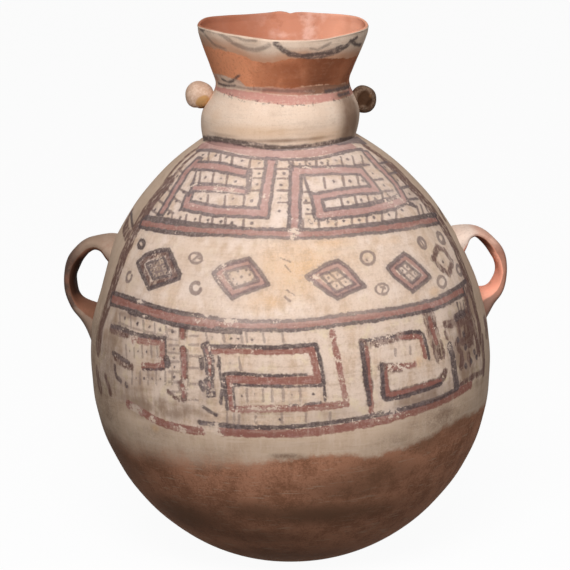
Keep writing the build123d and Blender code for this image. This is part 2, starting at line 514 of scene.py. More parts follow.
def ring(paint: Paint, centre: tuple[float, float], size: tuple[float, float], half: float,
         tilt: float = 0.0, opening: tuple[float, float] | None = None) -> list[Stroke]:
    """Ring drawn with one turn of the brush: an ellipse, turned by tilt, with an opening left in it.

    Args:
        paint: layer of the ring.
        centre: middle in pixels.
        size: breadth and height in pixels, over the brush line's middle.
        half: half the line's breadth in mm.
        tilt: turn of the ellipse in degrees.
        opening: first and last angle of the gap in degrees, clockwise from the right.

    Returns:
        The ring as a single stroke.
    """
    first, last = (0.0, 360.0) if opening is None else (opening[1], opening[0] + 360.0)
    a, t = np.radians(np.linspace(first, last, RING_POINTS)), math.radians(tilt)
    u, v = size[0] / 2 * np.cos(a), size[1] / 2 * np.sin(a)
    x, y = centre[0] + u * math.cos(t) - v * math.sin(t), centre[1] + u * math.sin(t) + v * math.cos(t)
    return [Stroke(paint, tuple(zip(x.tolist(), y.tolist())), half)]


def diamond(outline: Line, middle: Line, grid: int, crossed: bool, line: float = 2.0,
            frame_paint: Paint = Paint.RED) -> list[Stroke]:
    """Diamond: black outline, red frame, black inner outline and a middle of dotted cells.

    Args:
        outline: corners of the outline in pixels.
        middle: the inner outline's four corners in pixels: left, top, right and bottom.
        grid: dots along each side of the middle.
        crossed: whether thin lines divide the cells.
        line: half the breadth of the outline in mm.
        frame_paint: paint of the frame.

    Returns:
        The diamond's strokes.
    """
    outer, inner = (np.array(as_points(corners)) for corners in (outline, middle))
    heart = inner.mean(axis=0)
    edge, frame_line = (heart + share * (outer - heart) for share in (EDGE_SHARE, FRAME_SHARE))
    sides = ((frame_paint, frame_line, FRAME_HALF), (Paint.BLACK, edge, line),
             (Paint.BLACK, inner, INNER_HALF))
    drawn = [Stroke(paint, as_points(corners), half, closed=True) for paint, corners, half in sides]
    left, top, right, bottom = inner
    for i in range(grid):
        u = (i + 0.5) / grid
        for j in range(grid):
            v = (j + 0.5) / grid
            spot = (left * (1 - u) + top * u) * (1 - v) + (bottom * (1 - u) + right * u) * v
            drawn += dots(*spot, half=CELL_DOT_HALF)
        if crossed and i:
            w = i / grid
            ends = (left * (1 - w) + top * w, bottom * (1 - w) + right * w)
            across = (left * (1 - w) + bottom * w, top * (1 - w) + right * w)
            drawn += faints(CELL_LINE_HALF, ends, across)
    return drawn


@dataclass(frozen=True)
class Blot:
    """Soft patch on the wall: its middle in pixels, its spread across and up in mm, and its strength."""

    spot: tuple[float, float]
    spread: tuple[float, float]
    strength: float = 1.0


def blots(*rows: tuple[float, float, float, float, float]) -> tuple[Blot, ...]:
    """Blots, each given as x, y, spread across, spread up and strength."""
    return tuple(Blot((x, y), (across, up), strength) for x, y, across, up, strength in rows)


# Upper register: border under the collar and the two frets
TOP_BORDER = (
    blacks(2.5, (203, 138.5, 214, 139, 231, 141.4, 250, 144.4, 262, 146.4, 278, 148.6, 296, 148, 320, 145.2,
           339, 141.5, 350, 139.5, 359, 138.2)) + blacks(3.4, (338, 143, 350, 141, 363, 141.5))
    + reds(4.6, (203, 145, 222, 146, 240, 149.5, 262, 153, 280, 154, 300, 153.8, 320, 151.8, 337, 148.5,
           352, 146))
    + blacks(1.9, (197, 150.5, 208, 150, 220, 151.8, 240, 155.8, 260, 158.5, 280, 159.5, 300, 159.5, 320, 158,
           332, 155.5, 347, 151.5, 362, 149))
)
LEFT_FRET = (
    bars(3.0, (271.3, 162, 270.5, 168, 266.7, 190, 263.5, 212), (263, 212.6, 250, 212.2, 233, 211.6, 211, 210,
           197, 207, 187, 205.2), (198, 165.5, 211, 166, 228, 168.6, 244, 172.2))
    + bars(2.5, (186, 205, 189, 196), (197, 161, 187, 172, 180, 183), (177, 187, 170, 199, 163, 211))
    + blacks(1.4, (189, 196, 192.5, 186, 197, 170)) + blacks(2.3, (249.5, 171, 249.3, 181, 247.8, 192))
    + blacks(1.9, (192, 184, 210, 184, 228, 185.5, 246, 188))
    + reds(2.3, (193, 187.5, 210, 187.8, 228, 189, 246, 191.3))
    + blacks(1.2, (192, 191.2, 210, 191.5, 228, 192.7, 244, 194.5))
    + ticks(152.5, 161, 209.4, 221, 233, lean=-1, drop=0.17) + ticks(159, 167, 251, lean=-1.5)
    + dots(203.3, 154.8, 216, 155.5, 227, 157, 242.8, 160.4, 259.4, 163)
    + rungs(255, 263, 168.5, 178, 190.5, shift=-0.12) + dots(259.5, 173.5, 257.5, 184, half=1.1)
    + ticks(172, 182, 201, 214, 228, drop=0.12, lean=-1.5) + dots(206, 177.5, 221.5, 178.5, 236, 181.5)
    + ticks(195, 204, 208.5, 225.5, 244.5, drop=0.05, lean=-1) + dots(201, 198.5, 233.5, 198.5, 252, 200.5)
    + ticks(214, 222, 173, 187, 201, 213, 226, 244, drop=0.08, lean=-1)
    + dots(169, 213.5, 181, 217.5, 195.5, 219, 208, 220.3, 221, 221.5, 232, 222.5, 252, 223)
    + rungs(278, 287.5, 169, 178.5, 190.5, 202.5) + dots(284, 173.5, 281, 185, 280.5, 198, 279, 211)
    + blacks(1.2, (288, 160, 291.5, 165, 293, 170))
    + dots(172, 184.5, 165, 192.5, 155.5, 209.5, 184, 191.8, 176.5, 201.3, 169, 213.5, 178, 176, half=1.4)
    + rungs(178, 186, 187.5, 197, 208.5, lean=5, shift=-0.55)
    + rungs(165, 173, 187, 199, 209, lean=6, shift=-0.62) + rungs(181, 187, 170.5, lean=4)
)
RIGHT_FRET = (
    bars(3.0, (296, 170.5, 295.5, 190, 295, 205, 294.5, 226), (295.5, 171.5, 310, 171, 325, 170.5, 340, 170,
           361, 170.6), (317, 198, 318.8, 207, 320.5, 214), (319.5, 215, 340, 213, 360, 211.2, 375, 208.5,
           390, 204.8, 404, 199.5))
    + bars(2.3, (361, 170.3, 369, 180, 376, 189), (376, 189.5, 360, 190.5, 345, 192.3, 330, 194.8,
           316, 197.5), (368, 154, 376, 163.5, 384.7, 172.2, 396, 184.4, 403.5, 197))
    + blacks(1.9, (325, 210.5, 345, 207.5, 368, 204, 385, 200, 400, 195.5))
    + ticks(161.5, 167, 293, 306, 316.5, 328, drop=-0.02) + ticks(157, 166, 341, 353, 362, lean=2, drop=-0.05)
    + dots(300, 164, 310, 164, 322, 163, 336.5, 160.5, 348, 159.5, 363, 165)
    + ticks(178, 188, 324, 342.5, 357, drop=-0.12, lean=1.5) + dots(334, 181.5, 350, 181, 363, 180.5)
    + ticks(198.5, 207, 341, 355, 367.5, 382, drop=-0.12, lean=2)
    + dots(348, 202, 361.5, 200, 375.5, 198.5, 388, 194.5)
    + ticks(219, 228, 303, 319, 336, 352, 367, 382, 396, drop=-0.09)
    + dots(311, 223, 328, 222, 344, 221, 359.5, 220, 374, 217.5, 389, 214.5, 402, 210, half=1.2)
    + rungs(303, 311.5, 192, 203, 214, shift=0.14) + dots(306, 200.5, 308, 209.5, 309, 220.5, half=1.2)
    + blacks(1.2, (304, 176, 307, 186, 312, 198))
    + blacks(1.2, (356, 165.3, 370, 164.7), (372, 180.3, 383, 179), (381, 191.8, 393, 190.6))
    + dots(372.8, 173.3, 384.3, 185.3, 391, 196, 384.8, 167, 397.7, 180, 410, 194, half=1.5)
    + blacks(1.3, (379, 163.5, 387, 161.7), (388, 174, 396, 172), (400, 188.6, 409, 186), (407, 200,
           418, 198.5)) + blacks(2.6, (408.5, 203.5, 414, 205))
    + faints(1.5, (417, 206, 419, 214), (421, 205, 423.5, 213), (425, 205, 428, 211))
)

# Side borders, where the painted front ends short of the handles
LEFT_BORDER_LINE = as_points((203, 146, 189.5, 156, 180.3, 165, 173, 174, 167, 183, 160, 192, 152.3, 201,
    146.3, 210, 140.8, 219, 135.5, 228, 130.5, 237, 127, 246, 123.4, 255, 120, 264, 116, 273, 113, 282,
    110.5, 291, 107.5, 300, 105, 309, 102.5, 318, 100.6, 327, 99, 336, 97.5, 347))
RIGHT_BORDER_LINE = as_points((364, 146, 378.5, 156, 389.5, 165, 399, 174, 407.5, 183, 416.5, 192, 424, 201,
    432, 210, 438, 219, 444, 228, 449.3, 237, 453.7, 246, 457.7, 255, 461.5, 264, 465, 273, 468, 282,
    470, 291, 471, 300, 473.5, 309, 475.6, 318, 477.3, 327, 478.9, 336, 480.4, 345, 481.4, 354, 482.5, 363,
    483, 374))
SIDE_BORDERS = (
    maroons(2.6, *[moved(LEFT_BORDER_LINE[:5], shift) for shift in (-2.9, 2.9)])
    + maroons(8.6, moved(LEFT_BORDER_LINE[4:12], 0.8)) + maroons(7.8, LEFT_BORDER_LINE[11:])
    + maroons(5.0, (130, 213, 126, 221, 125, 228, 127, 236)) + blacks(1.6, (131, 211, 131.5, 220, 132.5, 226))
    + maroons(5.5, (97, 372, 98, 380, 100, 389)) + maroons(3.2, (106, 377, 109, 388, 110, 393))
    + maroons(4.6, moved(RIGHT_BORDER_LINE[:4], 1.5)) + maroons(8.6, moved(RIGHT_BORDER_LINE[2:10], 1.2))
    + maroons(7.6, moved(RIGHT_BORDER_LINE[9:17], 0.4))
    + maroons(4.8, (464.5, 290, 467.5, 305, 471.8, 318, 475.3, 330, 477.8, 341, 479.3, 352))
    + maroons(4.6, (471, 289, 474.8, 305, 478, 318, 480, 330, 480.8, 340))
    + maroons(3.8, (482.5, 337, 484, 350, 484.6, 362, 483.8, 373))
    + maroons(6.5, (485.5, 322, 487, 328, 487, 333)) + maroons(3.4, (439.5, 209, 442, 214, 445, 219))
    + blacks(3.2, (338, 142, 352, 141, 364, 142.5))
)

# Belly band: diamonds and rings between two bordered stripes
UPPER_STRIPE = (
    bars(2.3, (143, 223, 172, 227.2, 200, 230.1, 220, 231, 250, 232.5, 280, 233.7, 290, 234), (298, 233.8,
           330, 233.2, 350, 231, 380, 228.3, 410, 224, 436, 219.5))
    + blacks(2.0, (146, 216.6, 160, 218.5, 175, 220.8, 205, 224.6, 235, 227), (350, 226.8, 375, 224, 400, 220,
           436, 214)) + blacks(1.6, (146, 229, 160, 230.8, 175, 233, 203, 235.6))
)
DIAMONDS = (
    diamond((136.5, 262, 145, 254, 158, 249.5, 170, 248.5, 178, 267, 181.5, 275, 181, 279, 165, 284.5,
           148, 290, 139, 270), (147, 264, 164, 257, 171, 275, 153, 279), 3, True, 2.0, Paint.MAROON)
    + diamond((212, 273, 220, 266, 235, 261, 249, 257.5, 257, 266, 270, 285, 252, 291, 231, 299.5, 217, 282),
           (224, 272, 249, 266, 259, 281, 234, 288), 3, False)
    + diamond((305, 276, 325, 264, 338, 259.5, 348, 266, 366, 287, 352, 292, 337, 299.5, 315, 284), (320, 275,
           337, 269, 355, 284, 336, 292), 2, True)
    + diamond((386, 268, 404, 252, 415, 260, 432, 277, 424, 284, 413, 292.5, 393, 277), (396, 268, 405, 262,
           421, 275, 412, 283), 2, True, 1.9)
    + [Stroke(Paint.MAROON, ((433, 259), (437.5, 247.5), (444, 250), (452, 262), (449, 274), (441, 268)), 2.9,
           closed=True)] + dots(443, 262)
)
RINGS = (
    ring(Paint.BLACK, (141.5, 244), (6, 8), 1.9)
    + ring(Paint.FAINT, (128.5, 277), (5, 10), 1.5, 15, opening=(-80, -20))
    + ring(Paint.FAINT, (196, 258), (13, 10), 1.2, 15) + faints(0.9, (193, 260, 197, 257, 201, 259))
    + ring(Paint.FAINT, (196, 288), (10, 11), 1.7, opening=(-55, 10))
    + ring(Paint.FAINT, (368, 258), (14, 13), 1.3, 20) + dots(367, 260, half=1.0)
    + ring(Paint.FAINT, (382, 289), (13, 11), 1.0) + faints(0.8, (380, 287, 385, 288), (383, 288, 382, 292))
    + ring(Paint.FAINT, (422, 243), (6, 11), 1.7, -30) + faints(1.1, (420, 240, 424, 246))
    + ring(Paint.FAINT, (441, 238), (5, 11), 2.0, -25) + ring(Paint.FAINT, (442, 282), (8, 11), 1.4, -10)
    + ring(Paint.FAINT, (459, 270), (4, 10), 1.8, -20)
    + faints(0.8, (281, 258, 290, 262), (285, 265, 291, 272), (287, 290, 294, 295), (285, 297, 290, 301))
)
LOWER_STRIPE = (
    bars(3.5, (112, 299, 130, 304, 150, 310.8, 165, 315.3, 180, 319, 195, 321.5, 212, 323.6))
    + bars(2.3, (210, 323.5, 230, 325, 260, 325.8, 280, 325.6, 300, 325, 320, 322.8, 350, 318.8, 375, 315.5,
           400, 311.5, 420, 307.5, 440, 302, 462, 290.5))
    + blacks(1.9, (113, 293, 125, 297, 137, 301.6, 150, 305.4, 165, 309.3, 180, 312.3, 205, 316.5),
           (440, 296.5, 452, 290.5, 466, 281))
    + blacks(2.0, (128, 312, 150, 318, 165, 322, 180, 325.5, 210, 330.3, 240, 332.3))
)

# Lower register: worn frets and the stripe that closes the painted front
LOWER_LEFT = (
    ticks(314, 325, 119, 130, 143, 154.5, 166, lean=0.5, drop=0.27)
    + dots(124.3, 318.3, 137, 323.7, 149, 327, 160.3, 329.7, 172.3, 331.7)
    + faints(0.9, (118, 323, 135, 329, 155, 333.5, 168, 336), (168, 330, 176, 332), (168, 339, 178, 340))
    + maroons(3.4, (111, 329, 118, 331, 127, 335), (116, 358, 123, 363, 131, 367))
    + blacks(2.0, (111, 326, 119, 328, 128, 331.5), (113, 353, 120, 357, 129, 363))
    + reds(3.1, (134, 340, 150, 341.3, 162, 341.8), (162, 342, 162.5, 352, 162, 366), (162, 366, 153, 367,
           143, 366)) + blacks(1.9, (130, 332.5, 145, 336, 165, 338.3))
    + blacks(1.1, (165.3, 339, 165.8, 352, 165.3, 367), (143, 369.3, 154, 369.8, 164, 369))
    + blacks(3.2, (166.3, 359, 166.8, 364))
    + blacks(2.2, (115, 366, 117, 377, 121, 381), (126, 384, 127, 386))
    + maroons(3.4, (182, 329, 182.5, 337), (183, 349, 183.5, 362, 184, 377), (181, 384, 182.5, 391,
           183.5, 398))
    + reds(1.9, (182, 330, 182.5, 337), (183, 349, 183.5, 362, 184, 377), (182, 386, 183.5, 396))
    + maroons(1.6, (168, 391, 173, 396, 178, 400), (129, 403, 131, 408))
    + faints(1.1, (187, 327, 187, 336), (187.5, 350, 187.8, 362), (188, 380, 188, 392))
    + ticks(345, 357, 126, 134, 142, 151, 157, lean=0.5) + ticks(372, 384, 132, 140, 148, 156, 165, 172)
    + dots(130, 351, 138, 351.5, 146.5, 352, 136, 378, 144, 378.5, 152, 379, 160, 379, half=1.0)
    + rungs(169, 179, 345, 353, 362, 372, 382, 392) + rungs(189, 198, 336, 345, 356, 368, 384, 400)
    + dots(174, 349, 174, 358, 174, 367, 174, 377, half=1.1)
    + blacks(2.4, (201, 358, 202, 367), (201, 383, 203, 389)) + blacks(1.5, (203, 407, 209, 411, 216, 415))
    + bars(1.4, (206, 347, 209, 358, 210, 374), (209, 383, 211, 392))
    + blacks(1.3, (219, 357, 220, 372, 222, 390, 221, 403), (213, 372, 212, 395))
)
SPIRAL = (
    reds(2.5, (206, 350.6, 230, 351, 270, 351.6, 295, 351, 312, 349))
    + blacks(1.8, (202.5, 346.6, 225, 346.3, 250, 346.8, 268, 347.5, 290, 346.6, 306, 345, 315.5, 344.5))
    + reds(2.9, (311.5, 350, 314, 360, 317, 372, 319, 379.5))
    + blacks(1.7, (316, 345, 319, 356, 322, 370, 323.8, 384))
    + reds(3.6, (229, 379.3, 260, 380.3, 300, 380.5, 318, 379.8))
    + blacks(1.6, (222, 374, 232, 373.3, 247, 374, 258, 375.2))
    + blacks(1.2, (258, 375.2, 280, 375.6, 306, 374.4))
    + blacks(1.3, (234, 384.8, 260, 386, 290, 386.2, 321, 385.2)) + reds(2.5, (229, 381, 230, 394, 231, 408))
    + blacks(1.7, (223.5, 375, 225, 388, 226.4, 400, 227.3, 409))
    + blacks(1.0, (233, 388, 234.3, 400, 235, 408)) + reds(2.9, (233, 409.5, 265, 408.5, 300, 408, 346, 404))
    + blacks(1.2, (289, 404.8, 300, 404.5, 320, 402.5), (324.5, 386, 325, 400))
    + reds(2.6, (332, 332, 334.5, 345, 337.5, 358, 340, 370, 343, 385, 346, 403))
    + ticks(333, 342, 206, 223, 241, 246, 263, 282, lean=1.5)
    + dots(212, 338, 231, 338, 238, 339, 252, 340, half=1.0) + ticks(357, 370, 239, lean=2)
    + dots(230, 363, 218, 366, half=1.1) + ticks(389, 401, 247, 263, 272, 283, 300, lean=0.5)
    + dots(242, 396, 254.5, 394, 292, 395, 313, 394, half=1.05) + ticks(413, 424, 227, 234, 239)
    + ticks(414, 423, 256, 282, 306, 330, drop=-0.02) + dots(228, 401, 280, 419, half=1.1)
)
LOWER_RIGHT = (
    maroons(4.0, (363.2, 347, 365.3, 360, 367.5, 375, 369.2, 388))
    + reds(2.4, (369, 386, 370.5, 398, 371, 412)) + reds(1.7, (366, 348, 367, 361, 369, 375, 370, 386))
    + blacks(2.1, (361, 343.5, 362.8, 357, 365.4, 374, 367.6, 390, 369, 404))
    + maroons(3.6, (362, 343, 370, 343.5, 376, 343), (380.5, 340.8, 386, 339.8, 392, 339))
    + maroons(3.6, (397, 337.2, 408, 335, 419, 334.5)) + reds(1.7, (400, 338, 410, 336, 419, 336.5))
    + blacks(1.6, (366, 340.2, 380, 338.2, 394, 336), (405, 332.8, 416, 331.6, 422.5, 333.5))
    + reds(2.0, (420.3, 337, 422.8, 347, 425, 357)) + blacks(1.8, (423.4, 334.5, 426, 346, 428.6, 358))
    + maroons(7.0, (428, 313, 431, 325, 435, 340, 439.5, 354)) + reds(2.0, (429.5, 318, 432, 328, 436, 343))
    + maroons(4.2, (382, 367, 391, 368, 399, 367.5)) + reds(2.4, (388, 368, 402, 366.5, 414.5, 364.5))
    + maroons(3.6, (383.8, 368, 385.2, 382, 386.8, 396)) + reds(1.6, (386, 372, 386.8, 384, 388, 394))
    + blacks(1.9, (381, 364, 382.4, 380, 384.2, 398.5, 400, 397, 415, 392.4, 430, 387.8, 441, 383.5))
    + reds(2.0, (388, 395.5, 400, 393, 415, 388.5, 430, 384, 440, 380.5))
    + maroons(3.6, (390, 395.5, 407, 391, 424, 386, 433, 383, 440, 380, 443.8, 375.5, 444.8, 371.5))
    + blacks(3.8, (449.5, 346, 453, 360, 454.8, 375, 456.5, 387))
    + maroons(3.4, (446, 325, 451, 324, 456, 320), (457, 342.5, 464, 341, 473, 341.5))
    + blacks(3.4, (456, 318, 460, 314.5, 464.5, 314)) + maroons(5.0, (457, 322, 462, 320, 467, 318))
    + maroons(9.0, (468, 319, 469, 329, 469.5, 337))
    + maroons(2.2, (445, 332, 447, 338), (459, 328, 460, 337))
    + blacks(1.0, (460, 302, 462, 312), (463, 300, 465.5, 313), (467, 299, 469, 312), (457, 303, 459, 311))
    + maroons(3.0, (457.5, 344, 459.6, 350), (461.8, 354, 462.4, 362, 461.5, 367), (469, 355, 470.6, 363))
    + maroons(2.6, (482.5, 371.5, 477, 375), (474.5, 376, 469.5, 378.8), (467, 380.5, 461, 384))
    + dots(466, 366, 471.6, 361, 475, 352, 466, 347, 477, 357, 458, 340, 464, 334, half=2.6)
    + ticks(349, 356, 395, 410, drop=-0.15)
)
CLOSING_STRIPE = (
    blacks(2.1, (200, 422.5, 222, 425.3, 245, 427, 275, 427.3, 300, 426, 320, 423.7, 340, 421.2, 360, 417.8,
           380, 414, 400, 409.5, 420, 404.2, 440, 397.5, 455, 390))
    + reds(3.7, (128, 404, 140, 411, 150, 417, 165, 424, 175, 427, 190, 430, 202, 431), (217, 431.5, 245, 433,
           280, 433.2, 300, 432.8, 320, 430.8, 340, 428.2, 360, 424.5, 380, 420.5, 400, 415.2, 420, 409,
           440, 401.5, 455, 394.5, 463, 389.5, 470, 385))
    + maroons(1.5, (217, 431.8, 230, 432.5, 245, 434.5, 270, 435, 300, 434.5))
)
WALL_PAINTING = (
    TOP_BORDER + LEFT_FRET + RIGHT_FRET + SIDE_BORDERS + UPPER_STRIPE + DIAMONDS + RINGS + LOWER_STRIPE
    + LOWER_LEFT + SPIRAL + LOWER_RIGHT + CLOSING_STRIPE
)

# Neck: swags under the rim and the ground bands
SWAGS = (
    faints(1.7, (213, 33, 221, 38.2, 234, 45.8, 246, 49.8, 257, 50.3, 269, 44.5))
    + blacks(2.3, (276, 42, 282, 47.7, 290, 52.2, 301, 54, 314, 54.9, 327, 53.5, 339, 49.6, 348, 44))
    + blacks(3.2, (308, 54, 320, 53.2, 331, 50.6, 341, 47))
    + blacks(1.5, (351, 39.4, 356, 43.3, 361, 44.5), (347, 44, 352, 40, 358, 36), (199, 31, 203, 36, 207, 33))
    + faints(1.1, (311, 45.8, 318, 47, 324, 43.9, 331, 40.7), (234, 35.6, 239, 40, 246, 42, 256, 40.7),
           (222, 84.5, 245, 88, 275, 90.5, 314, 91.5), (204, 38, 215, 48, 226, 52))
    + blacks(1.0, (222, 79, 230, 82, 240, 75), (218, 83, 226, 85.5, 236, 86))
    + blacks(1.4, (326, 91.5, 333, 90.5, 341, 88.5, 349, 86.5), (339, 95, 344, 94.5, 349, 92))
)
RED_BAND_TOP = as_points((209, 50, 218, 51, 233, 53.5, 244, 57.3, 252, 61, 264, 63, 275, 61.5, 290, 58.5,
    305, 56.5, 325, 57, 340, 58, 357, 56))
RED_BAND_FOOT = as_points((214, 73, 224, 75, 240, 80, 246, 86, 276, 87.3, 295, 88, 308, 86.6, 327, 84.7,
    348, 82.8))
PINK_BAND_TOP = as_points((218, 86.6, 237, 89, 263, 93, 295, 95.6, 320, 94.3, 337, 92, 345, 90))
PINK_BAND_FOOT = as_points((219, 92, 231, 95.6, 244, 99.4, 269, 103.2, 288, 105.5, 308, 104.5, 327, 102,
    342, 98.5))
BASE_BORDER = as_points((108, 437, 116, 441, 147, 455, 195, 462, 230, 461.4, 241, 463, 256, 463.5, 269, 462,
    298, 459, 309, 456.5, 354, 456.3, 379, 455.7, 398, 450.5, 412, 445, 430, 436.5, 449, 426.5, 460, 418.5,
    481, 409))
RIM_FRONT = as_points((197.5, 24.5, 209, 29, 231, 33.7, 256, 37.5, 272, 39.4, 295, 40.1, 320, 39.2, 339, 35.6,
    358, 31, 367.5, 25.5))
RIM_BACK = as_points((205, 18, 223, 15.8, 251, 14.2, 269, 12.7, 281, 11.5, 286, 12.2, 290.5, 13.5, 295, 12.6,
    300, 12.3, 320, 13.3, 346, 15, 358, 17))

WEAR = blots(
    (118, 332, 12, 6, 0.36), (123, 361, 12, 7, 0.4), (150, 352, 30, 20, 0.22), (195, 400, 24, 14, 0.4),
    (150, 390, 34, 12, 0.4), (183, 370, 8, 30, 0.3), (135, 408, 8, 4, 0.85), (153, 419, 4, 4, 0.8),
    (181, 431, 5, 3, 0.6), (212, 432, 7, 6, 1.0), (165, 420, 34, 9, 0.2), (262, 408, 36, 5, 0.52),
    (337, 362, 6, 26, 0.3), (383, 342, 16, 6, 0.5), (398, 366, 14, 5, 0.45), (238, 322, 40, 5, 0.3),
    (290, 322, 50, 5, 0.12), (390, 412, 16, 6, 0.55), (294, 233, 4, 5, 1.0), (230, 190, 30, 14, 0.42),
    (222, 275, 9, 12, 0.5), (183, 343, 5, 4, 0.6), (208, 380, 8, 30, 0.4), (310, 275, 6, 9, 0.6),
    (450, 335, 14, 30, 0.2), (160, 270, 14, 14, 0.4), (330, 425, 30, 6, 0.15), (210, 352, 9, 6, 0.5),
    (300, 404, 30, 5, 0.42), (442, 363, 5, 5, 0.6), (300, 165, 40, 8, 0.4), (395, 200, 14, 6, 0.55),
    (300, 222, 34, 6, 0.35), (140, 302, 4, 2, 1.0), (206, 316, 4, 2, 0.9), (231, 321, 5, 2, 0.9),
    (135, 342, 6, 4, 0.5),
)
FADE = blots(
    (287, 266, 9, 9, 1.0), (290, 296, 9, 8, 1.0), (241, 279, 22, 20, 1.0), (336, 280, 22, 18, 1.0),
    (410, 272, 18, 18, 0.7), (265, 238, 26, 2.4, 0.9), (320, 239, 30, 2.4, 0.8), (365, 236, 22, 2.4, 0.5),
    (412, 229, 16, 2.4, 0.8), (443, 250, 9, 16, 0.45), (252, 321.5, 36, 3, 0.95), (300, 320.5, 30, 3, 0.9),
    (348, 314, 34, 3, 0.9), (410, 304, 26, 3, 0.5), (256, 327, 26, 6, 0.6), (320, 326, 40, 5, 0.35),
    (280, 153, 60, 7, 0.5), (256, 185, 14, 26, 0.5), (330, 185, 50, 20, 0.4), (375, 180, 20, 26, 0.6),
    (441, 282, 6, 8, 0.8), (195, 270, 6, 20, 0.6), (375, 275, 10, 18, 0.6), (300, 232, 60, 6, 0.32),
)
# Grime, together with painted shade along the jar's left and right edges
SMUDGE_AND_SHADE = blots(
    (468, 331, 15, 17, 1.15), (477, 325, 11, 40, 0.8), (112, 345, 22, 36, 0.7), (120, 392, 30, 9, 0.7),
    (150, 400, 40, 7, 0.55), (165, 350, 26, 18, 0.4), (225, 420, 26, 8, 0.5), (205, 372, 12, 34, 0.5),
    (388, 405, 30, 8, 0.4), (395, 175, 14, 30, 0.6), (160, 195, 12, 26, 0.45), (265, 412, 44, 5, 0.5),
    (190, 375, 30, 18, 0.35), (464, 358, 18, 17, 1.3), (461, 378, 18, 7, 0.9), (477, 378, 10, 8, 0.8),
    (200, 400, 40, 12, 0.35), (128, 316, 18, 3, 0.9), (452, 322, 10, 7, 0.8), (475, 354, 12, 6, 0.9),
    (440, 393, 16, 6, 0.8), (130, 388, 26, 9, 0.75), (156, 408, 32, 9, 1.05), (187, 413, 26, 6, 0.6),
    (150, 379, 30, 9, 0.5), (424, 396, 28, 9, 0.85), (335, 415, 40, 6, 0.45), (467, 367, 20, 11, 1.0),
    (159, 269, 9, 8, 1.0), (400, 385, 30, 16, 0.35),
)
OCHRE = blots(
    (300, 268, 32, 20, 0.85), (262, 300, 18, 8, 0.6), (330, 243, 18, 5, 0.8), (272, 302, 7, 5, 0.9),
    (435, 292, 6, 4, 0.8), (390, 240, 14, 5, 0.5), (128, 250, 12, 16, 0.5), (418, 362, 5, 6, 0.7),
    (290, 250, 20, 16, 0.45), (345, 222, 30, 4, 0.6), (155, 428, 4, 3, 0.8), (320, 284, 16, 12, 0.4),
    (150, 240, 16, 20, 0.4), (372, 203, 10, 4, 0.5),
)
# Fire clouding, together with painted shade that darkens the left side, the right edge and the bottom
SOOT_AND_SHADE = blots(
    (185, 516, 46, 20, 0.68), (285, 556, 70, 20, 0.5), (122, 480, 24, 34, 0.7), (99, 290, 72, 60, 0.32),
    (96, 370, 60, 60, 0.6), (104, 440, 64, 36, 0.75), (285, 456, 12, 2.2, 0.75), (378, 474, 36, 15, 0.5),
    (108, 410, 16, 46, 0.6), (320, 520, 60, 12, 0.35), (150, 458, 24, 12, 0.45), (465, 340, 16, 34, 0.4),
    (400, 520, 30, 20, 0.25), (455, 415, 26, 16, 0.5), (442, 417, 34, 10, 0.65), (140, 270, 20, 40, 0.28),
    (475, 290, 12, 40, 0.3), (120, 255, 60, 40, 0.15), (215, 262, 40, 40, 0.27), (425, 440, 20, 12, 0.5),
    (145, 442, 34, 14, 0.4), (255, 536, 44, 12, 0.5), (320, 514, 50, 12, 0.72), (146, 496, 24, 18, 0.35),
    (358, 487, 40, 15, 0.5), (350, 512, 44, 11, 0.6), (258, 512, 30, 11, 0.6), (205, 450, 44, 8, 0.4),
    (398, 440, 40, 9, 0.45), (300, 446, 60, 7, 0.22), (434, 414, 28, 14, 0.5), (158, 434, 32, 10, 0.42),
    (128, 232, 14, 34, 0.4), (338, 412, 30, 10, 0.3),
)


@dataclass(frozen=True)
class RimLine:
    """The hand-cut rim, read from its near and its far edge in the picture."""

    near: Points = RIM_FRONT
    far: Points = RIM_BACK
    radius: float = 70.0

    def rise(self, angle: Array) -> Array:
        """Height of the rim above its mean level, a smooth closed curve round the mouth.

        Args:
            angle: angles round the jar in radians.

        Returns:
            Height at each angle in mm.
        """
        edges = [CAMERA.cast_tube(line, self.radius, far)
                 for line, far in ((self.near, False), (self.far, True))]
        at, height = (np.concatenate(both) for both in zip(*edges))
        order = np.argsort(at)
        at, height = at[order], height[order] - FORM.rim_height
        turn = 2 * math.pi
        knots = np.concatenate([at - turn, at, at + turn])
        return smooth_curve(knots, np.tile(height, 3), about_front(angle))


RIM = RimLine()


def on_wall(points: Points) -> tuple[Array, Array]:
    """Angle round the jar and run along the wall of picture points."""
    angle, height = CAMERA.cast(points)
    return angle, FORM.run_at(height)


class WallGrid(NamedTuple):
    """Grid on the wall: angle of each column in radians, run along the wall and radius of each row in mm."""

    angle: Array
    run: Array
    radius: Array


